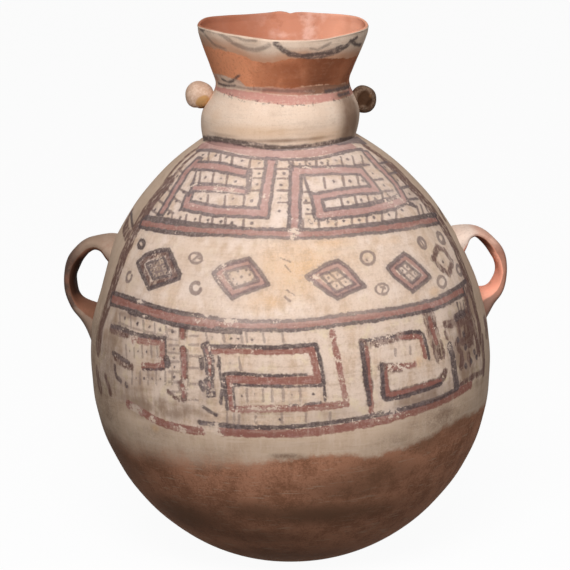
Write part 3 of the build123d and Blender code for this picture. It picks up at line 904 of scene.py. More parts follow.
@dataclass
class Brushwork:
    """Painting laid on the wall: strokes and blots as angle round the jar and run along the wall.

    Distances are worked out up to reach from a stroke, and slack times as far round the jar.
    """

    strokes: list[Stroke]
    panel_turn: float = math.radians(3.0)
    back_squeeze: float = 0.85
    back_from: float = math.radians(97.5)
    reach: float = 12.0
    slack: float = 1.3
    lines: list[tuple[Paint, float, Array]] = field(default_factory=list)

    def __post_init__(self) -> None:
        """Casts every stroke's picture points onto the wall, all at once."""
        parts = [stroke.line() for stroke in self.strokes]
        spots = np.stack(on_wall(np.vstack(parts)), axis=1)
        cuts = np.split(spots, np.cumsum([len(p) for p in parts])[:-1])
        self.lines = [(s.paint, s.half, c) for s, c in zip(self.strokes, cuts)]

    def fold(self, angle: Array) -> tuple[Array, Array]:
        """Front angle that each angle repeats, and how much narrower its panel is there.

        The back carries the front's panel again, turned half round and a little narrower, so that a plain
        strip is left at each handle.

        Args:
            angle: angles round the jar in radians.

        Returns:
            Angles on the front panel, and the breadth factor of each.
        """
        near = about_front(angle)
        behind = np.mod(angle, 2 * math.pi) - math.pi
        at_back = np.abs(near) > self.back_from
        turned = behind / self.back_squeeze + self.panel_turn
        return np.where(at_back, turned, near), np.where(at_back, self.back_squeeze, 1.0)

    @staticmethod
    def mirror(angle: Array) -> Array:
        """Front angle that lies straight before each angle, so that stains and painted shade go on past the
        handles.
        """
        near = about_front(angle)
        return np.where(np.abs(near) > math.pi / 2, np.sign(near) * math.pi - near, near)

    def layers(self, grid: WallGrid) -> dict[str, Array]:
        """Paint layers on a grid of the wall.

        Each value is half a stroke's breadth less the distance to its nearest piece, the largest over all
        strokes, so it is positive under paint; for bars, which end square, it is the distance to the core's
        edge, plus BAR_CORE.

        Args:
            grid: the grid.

        Returns:
            One array per layer, rows by columns.
        """
        angle, run, radius = grid
        folded, breadth = self.fold(angle)
        found = {paint.value: np.full((len(run), len(angle)), -FAR) for paint in Paint}
        for paint, half, line in self.lines:
            layer, level = found[paint.value], half - (BAR_CORE if paint is Paint.BAR else 0.0)
            ends = line[1:] if len(line) > 1 else line
            for (a0, s0), (a1, s1) in zip(line[: len(ends)], ends):
                rows = np.flatnonzero((run > min(s0, s1) - self.reach) & (run < max(s0, s1) + self.reach))
                if not len(rows):
                    continue
                margin = self.slack * self.reach / radius[rows].min()
                cols = np.flatnonzero((folded > min(a0, a1) - margin) & (folded < max(a0, a1) + margin))
                if not len(cols):
                    continue
                scale = radius[rows][:, None] * breadth[cols][None, :]
                dx, dy = scale * (folded[cols] - a0), (run[rows] - s0)[:, None]
                ex, ey = scale * (a1 - a0), s1 - s0
                square = ex * ex + ey * ey + 1e-9
                u = (dx * ex + dy * ey) / square
                past, side = (u - np.clip(u, 0, 1)) * np.sqrt(square), np.hypot(dx - u * ex, dy - u * ey)
                far = np.maximum(np.abs(past), side) if paint is Paint.BAR else np.hypot(past, side)
                cell = np.ix_(rows, cols)
                layer[cell] = np.maximum(layer[cell], level - far)
        found[Paint.BAR.value] = -found[Paint.BAR.value]
        return found

    def edge(self, points: Points, angle: Array) -> Array:
        """A band's edge on the wall, held level past its ends.

        Args:
            points: the edge in pixels.
            angle: angles round the jar in radians.

        Returns:
            Run along the wall at each angle in mm.
        """
        at, runs = on_wall(points)
        order = np.argsort(at)
        return np.interp(self.mirror(angle), at[order], runs[order])

    def patches(self, marks: tuple[Blot, ...], grid: WallGrid) -> Array:
        """Strength of soft patches on a grid of the wall: the largest of their bell curves.

        Args:
            marks: the patches.
            grid: the grid.

        Returns:
            The strength, rows by columns.
        """
        folded = self.mirror(grid.angle)
        total = np.zeros((len(grid.run), len(grid.angle)))
        for blot, a, s in zip(marks, *on_wall(tuple(mark.spot for mark in marks))):
            across = grid.radius[:, None] * (folded[None, :] - a) / blot.spread[0]
            up = ((grid.run - s) / blot.spread[1])[:, None]
            total = np.maximum(total, blot.strength * np.exp(-(across**2 + up**2) / 2))
        return total

    def panel(self, grid: WallGrid) -> Array:
        """Distance inside the painted panel, from the nearer side border; negative in the plain strips.

        Args:
            grid: a grid of the wall.

        Returns:
            The distance in mm, rows by columns.
        """
        folded, breadth = self.fold(grid.angle)
        sides = []
        for line in (LEFT_BORDER_LINE, RIGHT_BORDER_LINE):
            at, runs = on_wall(line)
            order = np.argsort(runs)
            sides.append(np.interp(grid.run, runs[order], at[order])[:, None])
        scale = grid.radius[:, None] * breadth[None, :]
        inside = np.minimum(scale * (folded[None, :] - sides[0]), scale * (sides[1] - folded[None, :]))
        return np.clip(inside, -FAR, FAR)


def spokes(front: int, back: int, strip: int) -> Array:
    """Angles of a shell's columns: close on the painted front, wider on the back, widest in the plain strips.

    Args:
        front: columns on the front panel.
        back: columns on the back panel.
        strip: columns in each plain strip.

    Returns:
        Angles in radians, from just behind the left round to the right.
    """
    turns = np.radians(SPACING_TURNS)
    counts = (back // 2, strip, front, strip, back // 2)
    stretches = zip(turns[:-1], turns[1:], counts)
    return np.concatenate([np.linspace(*stretch, endpoint=False) for stretch in stretches])


def add_object(name: str, data: ID) -> Object:
    """New object of the scene."""
    piece = bpy.data.objects.new(name, data)
    bpy.context.scene.collection.objects.link(piece)
    return piece


def grid_mesh(name: str, grid: Array, poles: Array | None = None) -> Object:
    """Closed object from a grid of points that closes round its columns.

    The rows close round as well or, if poles are given, the first and last row close to a pole each.  Faces
    are turned the right way out by the sign of the volume that they enclose.

    Args:
        name: name of the object and its mesh.
        grid: xyz points in metres, rows by columns.
        poles: xyz points of the two poles in metres.

    Returns:
        The new object, smooth shaded.
    """
    rows, cols = grid.shape[:2]
    row, ring = np.arange(rows if poles is None else rows - 1)[:, None], np.arange(cols)
    nxt, below, above = (ring + 1) % cols, row * cols, (row + 1) % rows * cols
    faces = np.stack([below + ring, below + nxt, above + nxt, above + ring], axis=-1).reshape(-1, 4)
    points, caps = grid.reshape(-1, 3), np.empty((0, 3), int)
    if poles is not None:
        count, last = rows * cols, (rows - 1) * cols
        points = np.vstack([points, poles])
        caps = np.vstack([np.stack([0 * ring + count, nxt, ring], axis=1),
                          np.stack([0 * ring + count + 1, last + ring, last + nxt], axis=1)])
    a, b, c = points[np.vstack([faces[:, [0, 1, 2]], faces[:, [0, 2, 3]], caps])].transpose(1, 0, 2)
    if np.einsum("ij,ij->i", a, np.cross(b, c)).sum() < 0:
        faces, caps = faces[:, ::-1], caps[:, ::-1]
    mesh = bpy.data.meshes.new(name)
    mesh.from_pydata(points.tolist(), [], faces.tolist() + caps.tolist())
    mesh.polygons.foreach_set("use_smooth", np.ones(len(mesh.polygons), bool))
    mesh.update(calc_edges=True)
    return add_object(name, mesh)


def set_layer(piece: Object, name: str, values: Array) -> None:
    """Stores one value per point as a float attribute of the mesh."""
    layer = piece.data.attributes.new(name, "FLOAT", "POINT")
    layer.data.foreach_set("value", np.ascontiguousarray(values, dtype=np.float32).ravel())


def store_layers(piece: Object, layers: dict[str, Array], blank: dict[str, float],
                 outer: slice) -> None:
    """Stores the paint layers of a shell's outer points; its other points say that there is no paint.

    Args:
        piece: the shell.
        layers: values of each layer on the outer rows.
        blank: what stands for no paint, where that isn't a distance of FAR.
        outer: the outer rows' points.
    """
    for name, values in layers.items():
        full = np.full(len(piece.data.vertices), blank.get(name, -FAR))
        full[outer] = values.ravel()
        set_layer(piece, name, full)


def mark_sharp(piece: Object, cols: int, *rows: int) -> None:
    """Marks the edges along rows of a grid as sharp, so that the wall shades smoothly up to its seams.

    Args:
        piece: the shell.
        cols: number of columns of its grid.
        rows: numbers of the rows.
    """
    edges = np.empty(len(piece.data.edges) * 2, np.int32)
    piece.data.edges.foreach_get("vertices", edges)
    first, second = edges.reshape(-1, 2).T // cols
    layer = piece.data.attributes.new("sharp_edge", "BOOLEAN", "EDGE")
    layer.data.foreach_set("value", (first == second) & np.isin(first, rows))


def maths(operation: str, swapped: bool = False) -> Callable[["Value", "Value | float"], "Value"]:
    """Method of Value that adds a Math node.

    Args:
        operation: what the node does.
        swapped: whether the other value comes first.

    Returns:
        The method.
    """
    def method(self: "Value", other: "Value | float") -> "Value":
        """Math node on two values."""
        first, second = (other, self) if swapped else (self, other)
        node = self.graph.node("ShaderNodeMath", {"operation": operation}, {0: first, 1: second})
        return Value(self.graph, node.outputs[0])
    return method


class Value:
    """A number socket of a node graph, with arithmetic that adds Math nodes."""

    __add__ = __radd__ = maths("ADD")
    __mul__ = __rmul__ = maths("MULTIPLY")
    __sub__, __rsub__ = maths("SUBTRACT"), maths("SUBTRACT", swapped=True)
    most = maths("MAXIMUM")

    def __init__(self, graph: "Shade", socket: NodeSocket) -> None:
        """Keeps the graph and the socket."""
        self.graph, self.socket = graph, socket

    def rise(self, low: float, high: float) -> "Value":
        """Smooth rise from 0 at low to 1 at high."""
        node = self.graph.node("ShaderNodeMapRange", {"interpolation_type": "SMOOTHSTEP"}, {
            "Value": self, "From Min": low, "From Max": high, "To Min": 0.0, "To Max": 1.0})
        return Value(self.graph, node.outputs[0])


class Shade:
    """Node graph of one material, or of the sky."""

    def __init__(self, owner: Material | World) -> None:
        """Starts an empty graph on its owner."""
        owner.use_nodes = True
        self.owner, self.tree = owner, owner.node_tree
        self.tree.nodes.clear()

    @cached_property
    def place(self) -> NodeSocket:
        """Position on the piece, in metres."""
        return self.node("ShaderNodeTexCoord").outputs["Object"]

    def node(self, kind: str, settings: dict | None = None, inputs: dict | None = None) -> Node:
        """Adds a node.

        Args:
            kind: type of the node.
            settings: properties, set first.
            inputs: number, colour, socket or Value for each socket, by name or index.

        Returns:
            The node.
        """
        node = self.tree.nodes.new(kind)
        for key, value in (settings or {}).items():
            setattr(node, key, value)
        for key, value in (inputs or {}).items():
            socket = node.inputs[key]
            if isinstance(value, Value):
                value = value.socket
            if isinstance(value, NodeSocket):
                self.tree.links.new(value, socket)
            elif isinstance(value, tuple) and len(value) == 3 and socket.type == "RGBA":
                socket.default_value = (*value, 1.0)
            else:
                socket.default_value = value
        return node

    def layer(self, name: str) -> Value:
        """Float attribute of the mesh."""
        return Value(self, self.node("ShaderNodeAttribute", {"attribute_name": name}).outputs["Fac"])

    def height(self) -> Value:
        """Height in metres."""
        return Value(self, self.node("ShaderNodeSeparateXYZ", {}, {0: self.place}).outputs["Z"])

    def across(self) -> Value:
        """Distance to the right in metres."""
        return Value(self, self.node("ShaderNodeSeparateXYZ", {}, {0: self.place}).outputs["X"])

    def noise(self, scale: float, detail: float = 4.0, rough: float = 0.55, stretch: Colour = (1, 1, 1),
              shift: float = 0.0) -> Value:
        """Cloudy noise about one half.

        Args:
            scale: grains per metre.
            detail: octaves.
            rough: strength of the finer octaves.
            stretch: scale along each axis; a larger one along Z draws the grain out level.
            shift: offset that gives another pattern.

        Returns:
            The noise.
        """
        where = self.place
        if stretch != (1, 1, 1) or shift:
            offset = (shift, shift * 0.7, shift * 1.3)
            where = self.node("ShaderNodeMapping", {}, {
                "Vector": self.place, "Scale": stretch, "Location": offset}).outputs[0]
        node = self.node("ShaderNodeTexNoise", {}, {
            "Vector": where, "Scale": scale, "Detail": detail, "Roughness": rough})
        return Value(self, node.outputs[0])

    def mix(self, first: object, second: object, share: Value | float) -> NodeSocket:
        """Colour between two colours."""
        node = self.node("ShaderNodeMix", {"data_type": "RGBA"}, {0: share, 6: first, 7: second})
        return node.outputs[2]

    def finish(self, colour: NodeSocket, roughness: Value, relief: Value, depth: float,
               strength: float = 0.5, specular: float = 0.1) -> Material:
        """Closes the graph with a matt clay shader.

        Args:
            colour: colour of the surface.
            roughness: roughness of the surface.
            relief: height of the fine relief, about 0 to 1.
            depth: depth of the relief in metres.
            strength: strength of the relief.
            specular: reflection level, the same all over.

        Returns:
            The material.
        """
        bump = self.node("ShaderNodeBump", {}, {"Height": relief, "Strength": strength, "Distance": depth})
        shader = self.node("ShaderNodeBsdfPrincipled", {}, {
            "Base Color": colour, "Roughness": roughness, "Normal": bump.outputs[0],
            "Specular IOR Level": specular})
        self.node("ShaderNodeOutputMaterial", {}, {"Surface": shader.outputs[0]})
        return self.owner


@dataclass(frozen=True)
class WallFinish:
    """Slips and paints of the body: cream ground, dull red, grey-black, and red-brown below."""

    cream: Colour = (0.755, 0.575, 0.455)
    pale: Colour = (0.84, 0.675, 0.575)
    rosy: Colour = (0.8, 0.645, 0.57)
    pinkish: Colour = (0.71, 0.545, 0.44)
    straw: Colour = (0.74, 0.59, 0.39)
    buff: Colour = (0.6, 0.44, 0.32)
    dirt: Colour = (0.5, 0.35, 0.25)
    # the grime colour also paints shade along the jar's edges and on the collar
    grime_and_shade: Colour = (0.23, 0.14, 0.092)
    tan: Colour = (0.68, 0.475, 0.33)
    ochre: Colour = (0.74, 0.43, 0.19)
    smear: Colour = (0.47, 0.345, 0.295)
    red: Colour = (0.28, 0.112, 0.088)
    red_chalk: Colour = (0.58, 0.365, 0.33)
    black: Colour = (0.08, 0.056, 0.056)
    black_chalk: Colour = (0.27, 0.21, 0.205)
    maroon: Colour = (0.115, 0.055, 0.046)
    maroon_chalk: Colour = (0.29, 0.185, 0.165)
    divider: Colour = (0.23, 0.165, 0.15)
    flake: Colour = (0.77, 0.615, 0.51)
    clay: Colour = (0.23, 0.1, 0.055)
    clay_pale: Colour = (0.48, 0.225, 0.135)
    clay_dark: Colour = (0.07, 0.034, 0.018)
    # the scorch colour paints fire clouding and painted shade on the left side, the right edge and the bottom
    scorch_and_shade: Colour = (0.14, 0.072, 0.042)
    inside: Colour = (0.3, 0.155, 0.1)

    def build(self) -> Material:
        """Works out the painted wall from the mesh's paint layers.

        Returns:
            The material.
        """
        g = Shade(bpy.data.materials.new("painted_wall"))
        blotch, mottle, grain, speck = g.noise(14, 4), g.noise(60, 5), g.noise(420, 4, 0.6), g.noise(1500, 2)
        streak = g.noise(26, 6, 0.62, (1, 1, 13))
        wiping = g.noise(30, 6, 0.66, (1, 1, 1.5), 3.1)
        upright = g.noise(110, 4, 0.6, (1, 1, 0.2), 2.6)
        upper, lower = g.height().rise(0.29, 0.32), 1 - g.height().rise(0.224, 0.234)
        wobble = (g.noise(150, 3, shift=1.7) - 0.5) * 3.1 + (grain - 0.5) * 2.6 + (speck - 0.5)
        wobble = wobble * (1 + lower * 0.15) + (speck - 0.5) * lower
        weave = g.noise(330, 2, 0.5, (1, 1, 0.09), 4.8).most(g.noise(30, 2, 0.5, (1, 1, 12), 6.6))
        weave = weave.rise(0.54, 0.66)
        press = (g.noise(36, 2, shift=6.1) - 0.5) * 3.2
        # the soot layer carries fire clouding and painted shade on the left side, the right edge and the
        # bottom
        wear, soot_and_shade = g.layer("wear"), g.layer("soot_and_shade")

        patch, cloud = g.noise(120, 4, 0.65, shift=9.4), g.noise(34, 5, 0.6, shift=7.7)
        ground = g.mix(self.cream, self.pale, (blotch * 0.4 + mottle * 0.3 + patch * 0.3).rise(0.42, 0.6))
        ground = g.mix(ground, self.rosy, upper * 0.5)
        ground = g.mix(ground, self.pinkish, lower * 0.6)
        ground = g.mix(ground, self.tan, (cloud * 0.5 + upright * 0.5).rise(0.46, 0.62) * 0.65)
        ground = g.mix(ground, self.straw,
                       g.noise(75, 4, 0.6, shift=3.9).rise(0.52, 0.64) * (0.2 + lower * 0.4))
        strip = 1 - (g.layer("panel") + wobble).rise(-1.5, 1.0)
        under = (g.layer("under") + wobble).rise(-1.0, 1.0)
        bare = strip.most(under)
        ground = g.mix(ground, self.buff, bare * 0.85)
        ground = g.mix(ground, self.ochre, (g.layer("ochre") * (0.35 + mottle)).rise(0.1, 0.95) * 0.66)
        fine = g.noise(800, 3, 0.7, shift=5.7)
        ground = g.mix(ground, self.dirt, fine.rise(0.5, 0.68) * 0.32)
        ground = g.mix(ground, self.pale, (1 - fine).rise(0.52, 0.7) * 0.3 * (1 - bare))
        soil = streak * 0.3 + upright * 0.35 + grain * 0.25 + speck * 0.1
        ground = g.mix(ground, self.dirt, soil.rise(0.46, 0.62) * (0.5 + lower * 0.25))
        ground = g.mix(ground, self.flake,
                       g.noise(520, 3, 0.6, shift=8.3).rise(0.55, 0.68) * (1 - bare) * 0.3)
        ground = g.mix(ground, self.flake, weave * (0.12 + lower * 0.2) * (1 - bare * 0.5))
        # grime and painted shade from the smudge layer
        smudge_and_shade = g.layer("smudge_and_shade") * (0.3 + upright * 0.8 + (mottle - 0.5) * 2)
        ground = g.mix(ground, self.grime_and_shade, smudge_and_shade.rise(0.12, 0.72) * 0.75)

        chip = g.noise(400, 6, 0.7) * 0.55 + g.noise(90, 5, 0.65, (1, 1, 1.8), 5.3) * 0.45
        flaked = (chip + wear * 0.2 + lower * 0.02).rise(0.61, 0.655)
        rubbed = (g.noise(300, 5, 0.7, shift=2.9) * 0.6 + streak * 0.4 + wear * 0.12).rise(0.48, 0.64)
        eaten = (grain * 0.5 + speck * 0.5 + wear * 0.08).rise(0.52, 0.62)

        bar = g.layer(Paint.BAR.value) + wobble + press * 0.4
        painted_black = g.layer(Paint.BLACK.value)
        core = (g.layer(Paint.RED.value) + wobble).rise(-0.6, 0.6)
        core = (1 - bar.rise(BAR_CORE - 0.5, BAR_CORE + 0.6)).most(core)
        edging = bar.rise(BAR_CORE - 0.7, BAR_CORE + 0.3) * (1 - bar.rise(BAR_CORE + 2.2, BAR_CORE + 3.4))
        line = (painted_black + wobble * 0.75 + press * 0.3).rise(-0.6, 0.6)
        thin = (g.layer(Paint.FAINT.value) + wobble * 0.6).rise(-0.6, 0.6)
        broad = (g.layer(Paint.MAROON.value) + wobble * 1.2 + press * 0.4).rise(-1.0, 1.0)
        broad = broad * (1 - g.noise(260, 3, 0.6, (1, 1, 0.12), 5.1).rise(0.5, 0.62) * 0.5)
        fade = g.layer("fade")
        chalky = rubbed * 0.35 + mottle.rise(0.45, 0.75) * 0.2 + upper * 0.45 + wear * 0.2 + fade * 0.5
        red = g.mix(self.red, self.red_chalk, chalky - lower * 0.12)
        black = g.mix(self.black, self.black_chalk, rubbed * 0.5 + upper * 0.35 + wear * 0.3 + fade * 0.55)
        dusty = rubbed * 0.4 + upper * 0.15 + fade * 0.5 + mottle.rise(0.45, 0.7) * 0.3
        maroon = g.mix(self.maroon, self.maroon_chalk, dusty)
        whole = 1 - flaked
        dark = edging.most(line)
        smear = (1 - bar.rise(BAR_CORE + 2.5, BAR_CORE + 7.0)).most(painted_black.rise(-4.0, 0.0))
        colour = g.mix(ground, self.smear, smear * (mottle * 0.5 + grain * 0.5).rise(0.36, 0.62) * 0.42)
        colour = g.mix(colour, self.flake, core.most(dark).most(thin) * flaked * (0.6 - lower * 0.25))
        sound = whole * (1 - fade * 0.25) * (1 - weave * (0.06 + lower * 0.12))
        colour = g.mix(colour, self.divider, thin * sound * (0.9 - eaten * 0.35 - lower * 0.25))
        colour = g.mix(colour, maroon, broad * sound * (0.96 - eaten * 0.3))
        colour = g.mix(colour, red, core * sound * (0.97 - eaten * 0.3))
        colour = g.mix(colour, black, dark * sound * (0.95 - eaten * 0.35))
        colour = g.mix(colour, self.flake, wear.rise(0.35, 0.9) * lower * streak.rise(0.47, 0.6) * 0.3)

        border = g.layer("base") + (mottle - 0.5) * 12 + (blotch - 0.5) * 8
        border = border + (upright - 0.5) * 4 + (grain - 0.5) * 7
        tone = wiping * 0.28 + mottle * 0.15 + upright * 0.17 + grain * 0.18 + fine * 0.22
        clay = g.mix(self.clay, self.clay_pale, tone.rise(0.42, 0.58))
        clay = g.mix(clay, self.dirt, g.noise(60, 3, 0.6, (1, 1, 9), 8.8).rise(0.58, 0.68) * 0.4)
        clay = g.mix(clay, self.clay_dark, (tone * 0.8 + soot_and_shade * 0.42).rise(0.42, 0.84) * 0.9)
        crisp, soft = border.rise(-3.6, 3.0), border.rise(-16.0, 12.0)
        colour = g.mix(colour, clay, crisp + (soft - crisp) * (1 - g.across().rise(-0.07, 0.0)))
        # fire clouding and painted shade from the soot layer
        scorch_and_shade_share = soot_and_shade * (0.35 + (1 - tone.rise(0.4, 0.6)) * 0.85 + (upright - 0.5) * 0.8)
        colour = g.mix(colour, self.scorch_and_shade, scorch_and_shade_share.rise(0.06, 0.85) * 0.78)
        colour = g.mix(colour, self.inside, g.layer("inside").rise(0.4, 0.6))

        rough = 0.68 + grain * 0.25 - dark * 0.05
        relief = grain * 0.35 + speck * 0.1 + streak * 0.3 + upright * 0.25 + dark * 0.1 - flaked * 0.2
        return g.finish(colour, rough, relief, depth=0.0009, strength=0.3)


@dataclass(frozen=True)
class NeckFinish:
    """Slips of the collar, neck and lip: cream, red-brown and pink bands, black swags, terracotta inside."""

    cream: Colour = (0.77, 0.585, 0.455)
    pale: Colour = (0.85, 0.685, 0.56)
    buff: Colour = (0.52, 0.35, 0.24)
    ochre: Colour = (0.68, 0.41, 0.21)
    wash: Colour = (0.58, 0.31, 0.195)
    red: Colour = (0.36, 0.115, 0.052)
    # the pale red serves the band's mottling and the painted light on its left; the dark red is painted shade
    # on its right
    red_pale_and_lit: Colour = (0.78, 0.31, 0.16)
    red_shaded: Colour = (0.19, 0.062, 0.029)
    umber: Colour = (0.47, 0.215, 0.155)
    # the soil colour also paints shade: on the right of the gap under the red band, and on the collar
    soil: Colour = (0.17, 0.09, 0.052)
    pink: Colour = (0.56, 0.26, 0.215)
    border_red: Colour = (0.52, 0.31, 0.28)
    black: Colour = (0.095, 0.068, 0.064)
    black_chalk: Colour = (0.28, 0.21, 0.19)
    terracotta: Colour = (0.6, 0.255, 0.16)
    terracotta_pale: Colour = (0.79, 0.46, 0.36)
    # the dark terracotta serves darker mottling and the painted shade on the mouth's left wall; the bright
    # one is painted light on its right wall
    terracotta_dark_and_shaded: Colour = (0.4, 0.145, 0.08)
    terracotta_lit: Colour = (0.93, 0.43, 0.28)

    def build(self) -> Material:
        """Works out the collar, neck and lip from the mesh's paint layers.

        Returns:
            The material.
        """
        g = Shade(bpy.data.materials.new("neck_slips"))
        blotch, mottle, grain, speck = g.noise(30, 4), g.noise(70, 5), g.noise(420, 4, 0.6), g.noise(1500, 2)
        streak = g.noise(24, 6, 0.62, (1, 1, 16))
        upright = g.noise(60, 4, 0.6, (1, 1, 0.25), 3.3)
        wobble = (g.noise(150, 3, shift=1.7) - 0.5) * 2.0 + (grain - 0.5) * 1.6
        rubbed = (g.noise(300, 5, 0.7, shift=2.9) * 0.6 + streak * 0.4).rise(0.48, 0.66)
        neck = g.height().rise(0.398, 0.406)
        side = g.layer("side")
        # masks for painted light on the neck's left side and painted shade on its right
        left, right = 1 - side.rise(-0.75, 0.2), side.rise(0.15, 0.5)

        colour = g.mix(self.cream, self.pale, (mottle * 0.5 + streak * 0.5).rise(0.42, 0.62))
        wiped = streak * 0.35 + mottle * 0.35 + upright * 0.2 + speck * 0.1
        colour = g.mix(colour, self.buff, wiped.rise(0.47, 0.62) * 0.5)
        colour = g.mix(colour, self.buff, g.noise(800, 3, 0.7, shift=5.7).rise(0.5, 0.68) * 0.3)
        colour = g.mix(colour, self.buff, neck * (blotch * 0.5 + mottle * 0.5).rise(0.44, 0.68) * 0.45)
        colour = g.mix(colour, self.ochre, (g.layer("ochre") * (0.4 + mottle)).rise(0.1, 0.95) * 0.6)
        colour = g.mix(colour, self.wash, neck * g.layer("band").rise(-13.0, -1.0) * (0.6 + mottle * 0.8))
        # the gap under the red band: umber, paler on the left, with painted shade on its right
        stained = g.layer("gap") + wobble
        stain = g.mix(g.mix(self.umber, self.cream, left * mottle.rise(0.36, 0.56) * 0.8), self.soil,
                      right * 0.75)
        colour = g.mix(colour, stain, stained.rise(-0.8, 0.8) * (1 - rubbed * 0.3))
        band = (g.layer("band") + wobble * 1.6 + (mottle - 0.5) * 5).rise(-0.9, 0.9)
        # the red band: painted light makes its left paler, painted shade makes its right darker
        red = g.mix(self.red, self.red_pale_and_lit,
                    (mottle * 0.4 + upright * 0.6).rise(0.42, 0.6) * 0.4 + left * 0.9)
        red = g.mix(red, self.red, (grain * 0.6 + speck * 0.4).rise(0.5, 0.64) * 0.4)
        red = g.mix(red, self.red_shaded, right * (1 - side.rise(0.55, 0.85) * 0.7) * (0.35 + upright * 0.9))
        colour = g.mix(colour, red, band * (0.96 - rubbed * 0.15))
        pink = (g.layer("pink") + wobble).rise(-0.5, 0.7)
        colour = g.mix(colour, self.pink, pink * (0.92 - rubbed * 0.5))
        colour = g.mix(colour, self.border_red, (g.layer(Paint.RED.value) + wobble).rise(-0.4, 0.5) * 0.9)
        # stain and painted shade at the collar's right end and along its foot
        colour = g.mix(colour, self.soil, (g.layer("grime_and_shade") * (0.5 + mottle)).rise(0.1, 0.9) * 0.85)
        fleck = g.noise(330, 3, 0.5, shift=4.4).rise(0.55, 0.6)
        line = (g.layer(Paint.BLACK.value) + wobble * 1.1).rise(-1.3, 1.1)
        thin = (g.layer(Paint.FAINT.value) + wobble).rise(-1.3, 1.0) * 0.55
        black = g.mix(self.black, self.black_chalk, rubbed * 0.8)
        dark = line.most(thin).most(fleck * g.layer("flecks") * 0.8)
        colour = g.mix(colour, black, dark * (0.9 - rubbed * 0.4))
        inner = g.mix(self.terracotta, self.terracotta_pale,
                      (mottle * 0.5 + blotch * 0.5).rise(0.45, 0.58) * 0.9)
        inner = g.mix(inner, self.terracotta_dark_and_shaded, g.noise(46, 5, 0.65, shift=6.4).rise(0.52, 0.66) * 0.5)
        inner = g.mix(inner, self.pink, (grain * 0.5 + upright * 0.5).rise(0.5, 0.64) * 0.35)
        # inside the mouth: painted shade on its left wall, painted light on its right wall
        inner = g.mix(inner, self.terracotta_dark_and_shaded, (1 - side.rise(-0.45, 0.1)) * (0.55 + mottle * 0.6))
        inner = g.mix(inner, self.terracotta_lit, side.rise(0.35, 0.75) * (0.5 + mottle * 0.6))
        colour = g.mix(colour, inner, (g.layer("inside") + (mottle - 0.5) * 0.5).rise(0.35, 0.65))

        rough = 0.68 + grain * 0.25
        relief = grain * 0.3 + speck * 0.1 + streak * 0.5 + dark * 0.08
        return g.finish(colour, rough, relief, depth=0.0009, strength=0.35)


@dataclass(frozen=True)
class LoopFinish:
    """Slip of a handle: colours of its outer face from top to bottom, tints, inner face and a stretch of
    painted shade.

    The outer face changes from one colour to the next over the stretches in steps, as shares of its line.
    """

    name: str
    outer: tuple[Colour, Colour, Colour, Colour]
    steps: tuple[tuple[float, float], ...]
    tint: Colour
    inner: Colour
    # colour of the painted shade on the inner face
    inner_shade: Colour
    worn: Colour = (0.33, 0.18, 0.115)

    def build(self) -> Material:
        """Works out a handle; layers of its mesh mark its line, its inner face and a stretch of painted shade
        on that face.

        Returns:
            The material.
        """
        g = Shade(bpy.data.materials.new(self.name))
        mottle, grain, speck = g.noise(70, 5), g.noise(420, 4, 0.6), g.noise(1500, 2)
        blotch = g.noise(32, 4, 0.6, shift=2.2)
        along = g.layer("along") + (mottle - 0.5) * 0.14 + (blotch - 0.5) * 0.1
        colour = self.outer[0]
        for following, (start, end) in zip(self.outer[1:], self.steps):
            colour = g.mix(colour, following, along.rise(start, end))
        colour = g.mix(colour, self.tint, (blotch * 0.6 + mottle * 0.4).rise(0.5, 0.64) * 0.55)
        colour = g.mix(colour, self.worn, (speck * 0.4 + grain * 0.6).rise(0.52, 0.66) * 0.4)
        face = (g.layer("face") + (mottle - 0.5) * 0.7 + (blotch - 0.5) * 0.6).rise(0.35, 0.75)
        # the inner face's colour: painted shade on the left handle, painted light on the right one
        inner = g.mix(self.inner, self.tint, (mottle * 0.6 + grain * 0.4).rise(0.5, 0.68) * 0.4)
        colour = g.mix(colour, inner, face * 0.94)
        # painted shade over a stretch of the inner face
        colour = g.mix(colour, self.inner_shade, (g.layer("inner_shade") + (mottle - 0.5) * 0.6).rise(0.3, 0.8) * 0.92)
        relief = grain * 0.5 + speck * 0.2 + mottle * 0.3
        return g.finish(colour, 0.68 + grain * 0.25, relief, depth=0.0009, strength=0.4)


@dataclass(frozen=True)
class LugFinish:
    """Slip of a lug, with painted shade in its hollow, and its stain."""

    name: str
    body: Colour
    pale: Colour
    # colour of the painted shade in the hollow
    hollow: Colour
    stain: Colour

    def build(self) -> Material:
        """Works out a lug; hollow and stain are layers of its mesh.

        Returns:
            The material.
        """
        g = Shade(bpy.data.materials.new(self.name))
        mottle, grain, speck = g.noise(130, 5), g.noise(520, 4, 0.6), g.noise(1600, 2)
        colour = g.mix(self.body, self.pale, (mottle * 0.6 + grain * 0.4).rise(0.42, 0.62))
        colour = g.mix(colour, self.stain, (g.layer("stain") + (mottle - 0.5) * 0.6).rise(0.35, 0.75) * 0.85)
        # painted shade in the hollow
        colour = g.mix(colour, self.hollow, (g.layer("hollow") + (grain - 0.5) * 0.5).rise(0.3, 0.7))
        relief = grain * 0.5 + speck * 0.2 + mottle * 0.3
        return g.finish(colour, 0.6 + grain * 0.25, relief, depth=0.0008, strength=0.5)


def hand_in(piece: Object, material: Material, slot: str, *nodes: str) -> Object:
    """Gives a piece its material and body, hides the nodes that it stands for, and reports it.

    Args:
        piece: the finished piece.
        material: its material.
        slot: material slot of the record; not used.
        nodes: nodes that it replaces.

    Returns:
        The piece.
    """
    piece.data.materials.append(material)
    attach(piece, "root")
    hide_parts(*nodes)
    log.info("%s: %d points, %d faces, for %s",
             piece.name, len(piece.data.vertices), len(piece.data.polygons), ", ".join(nodes))
    return piece


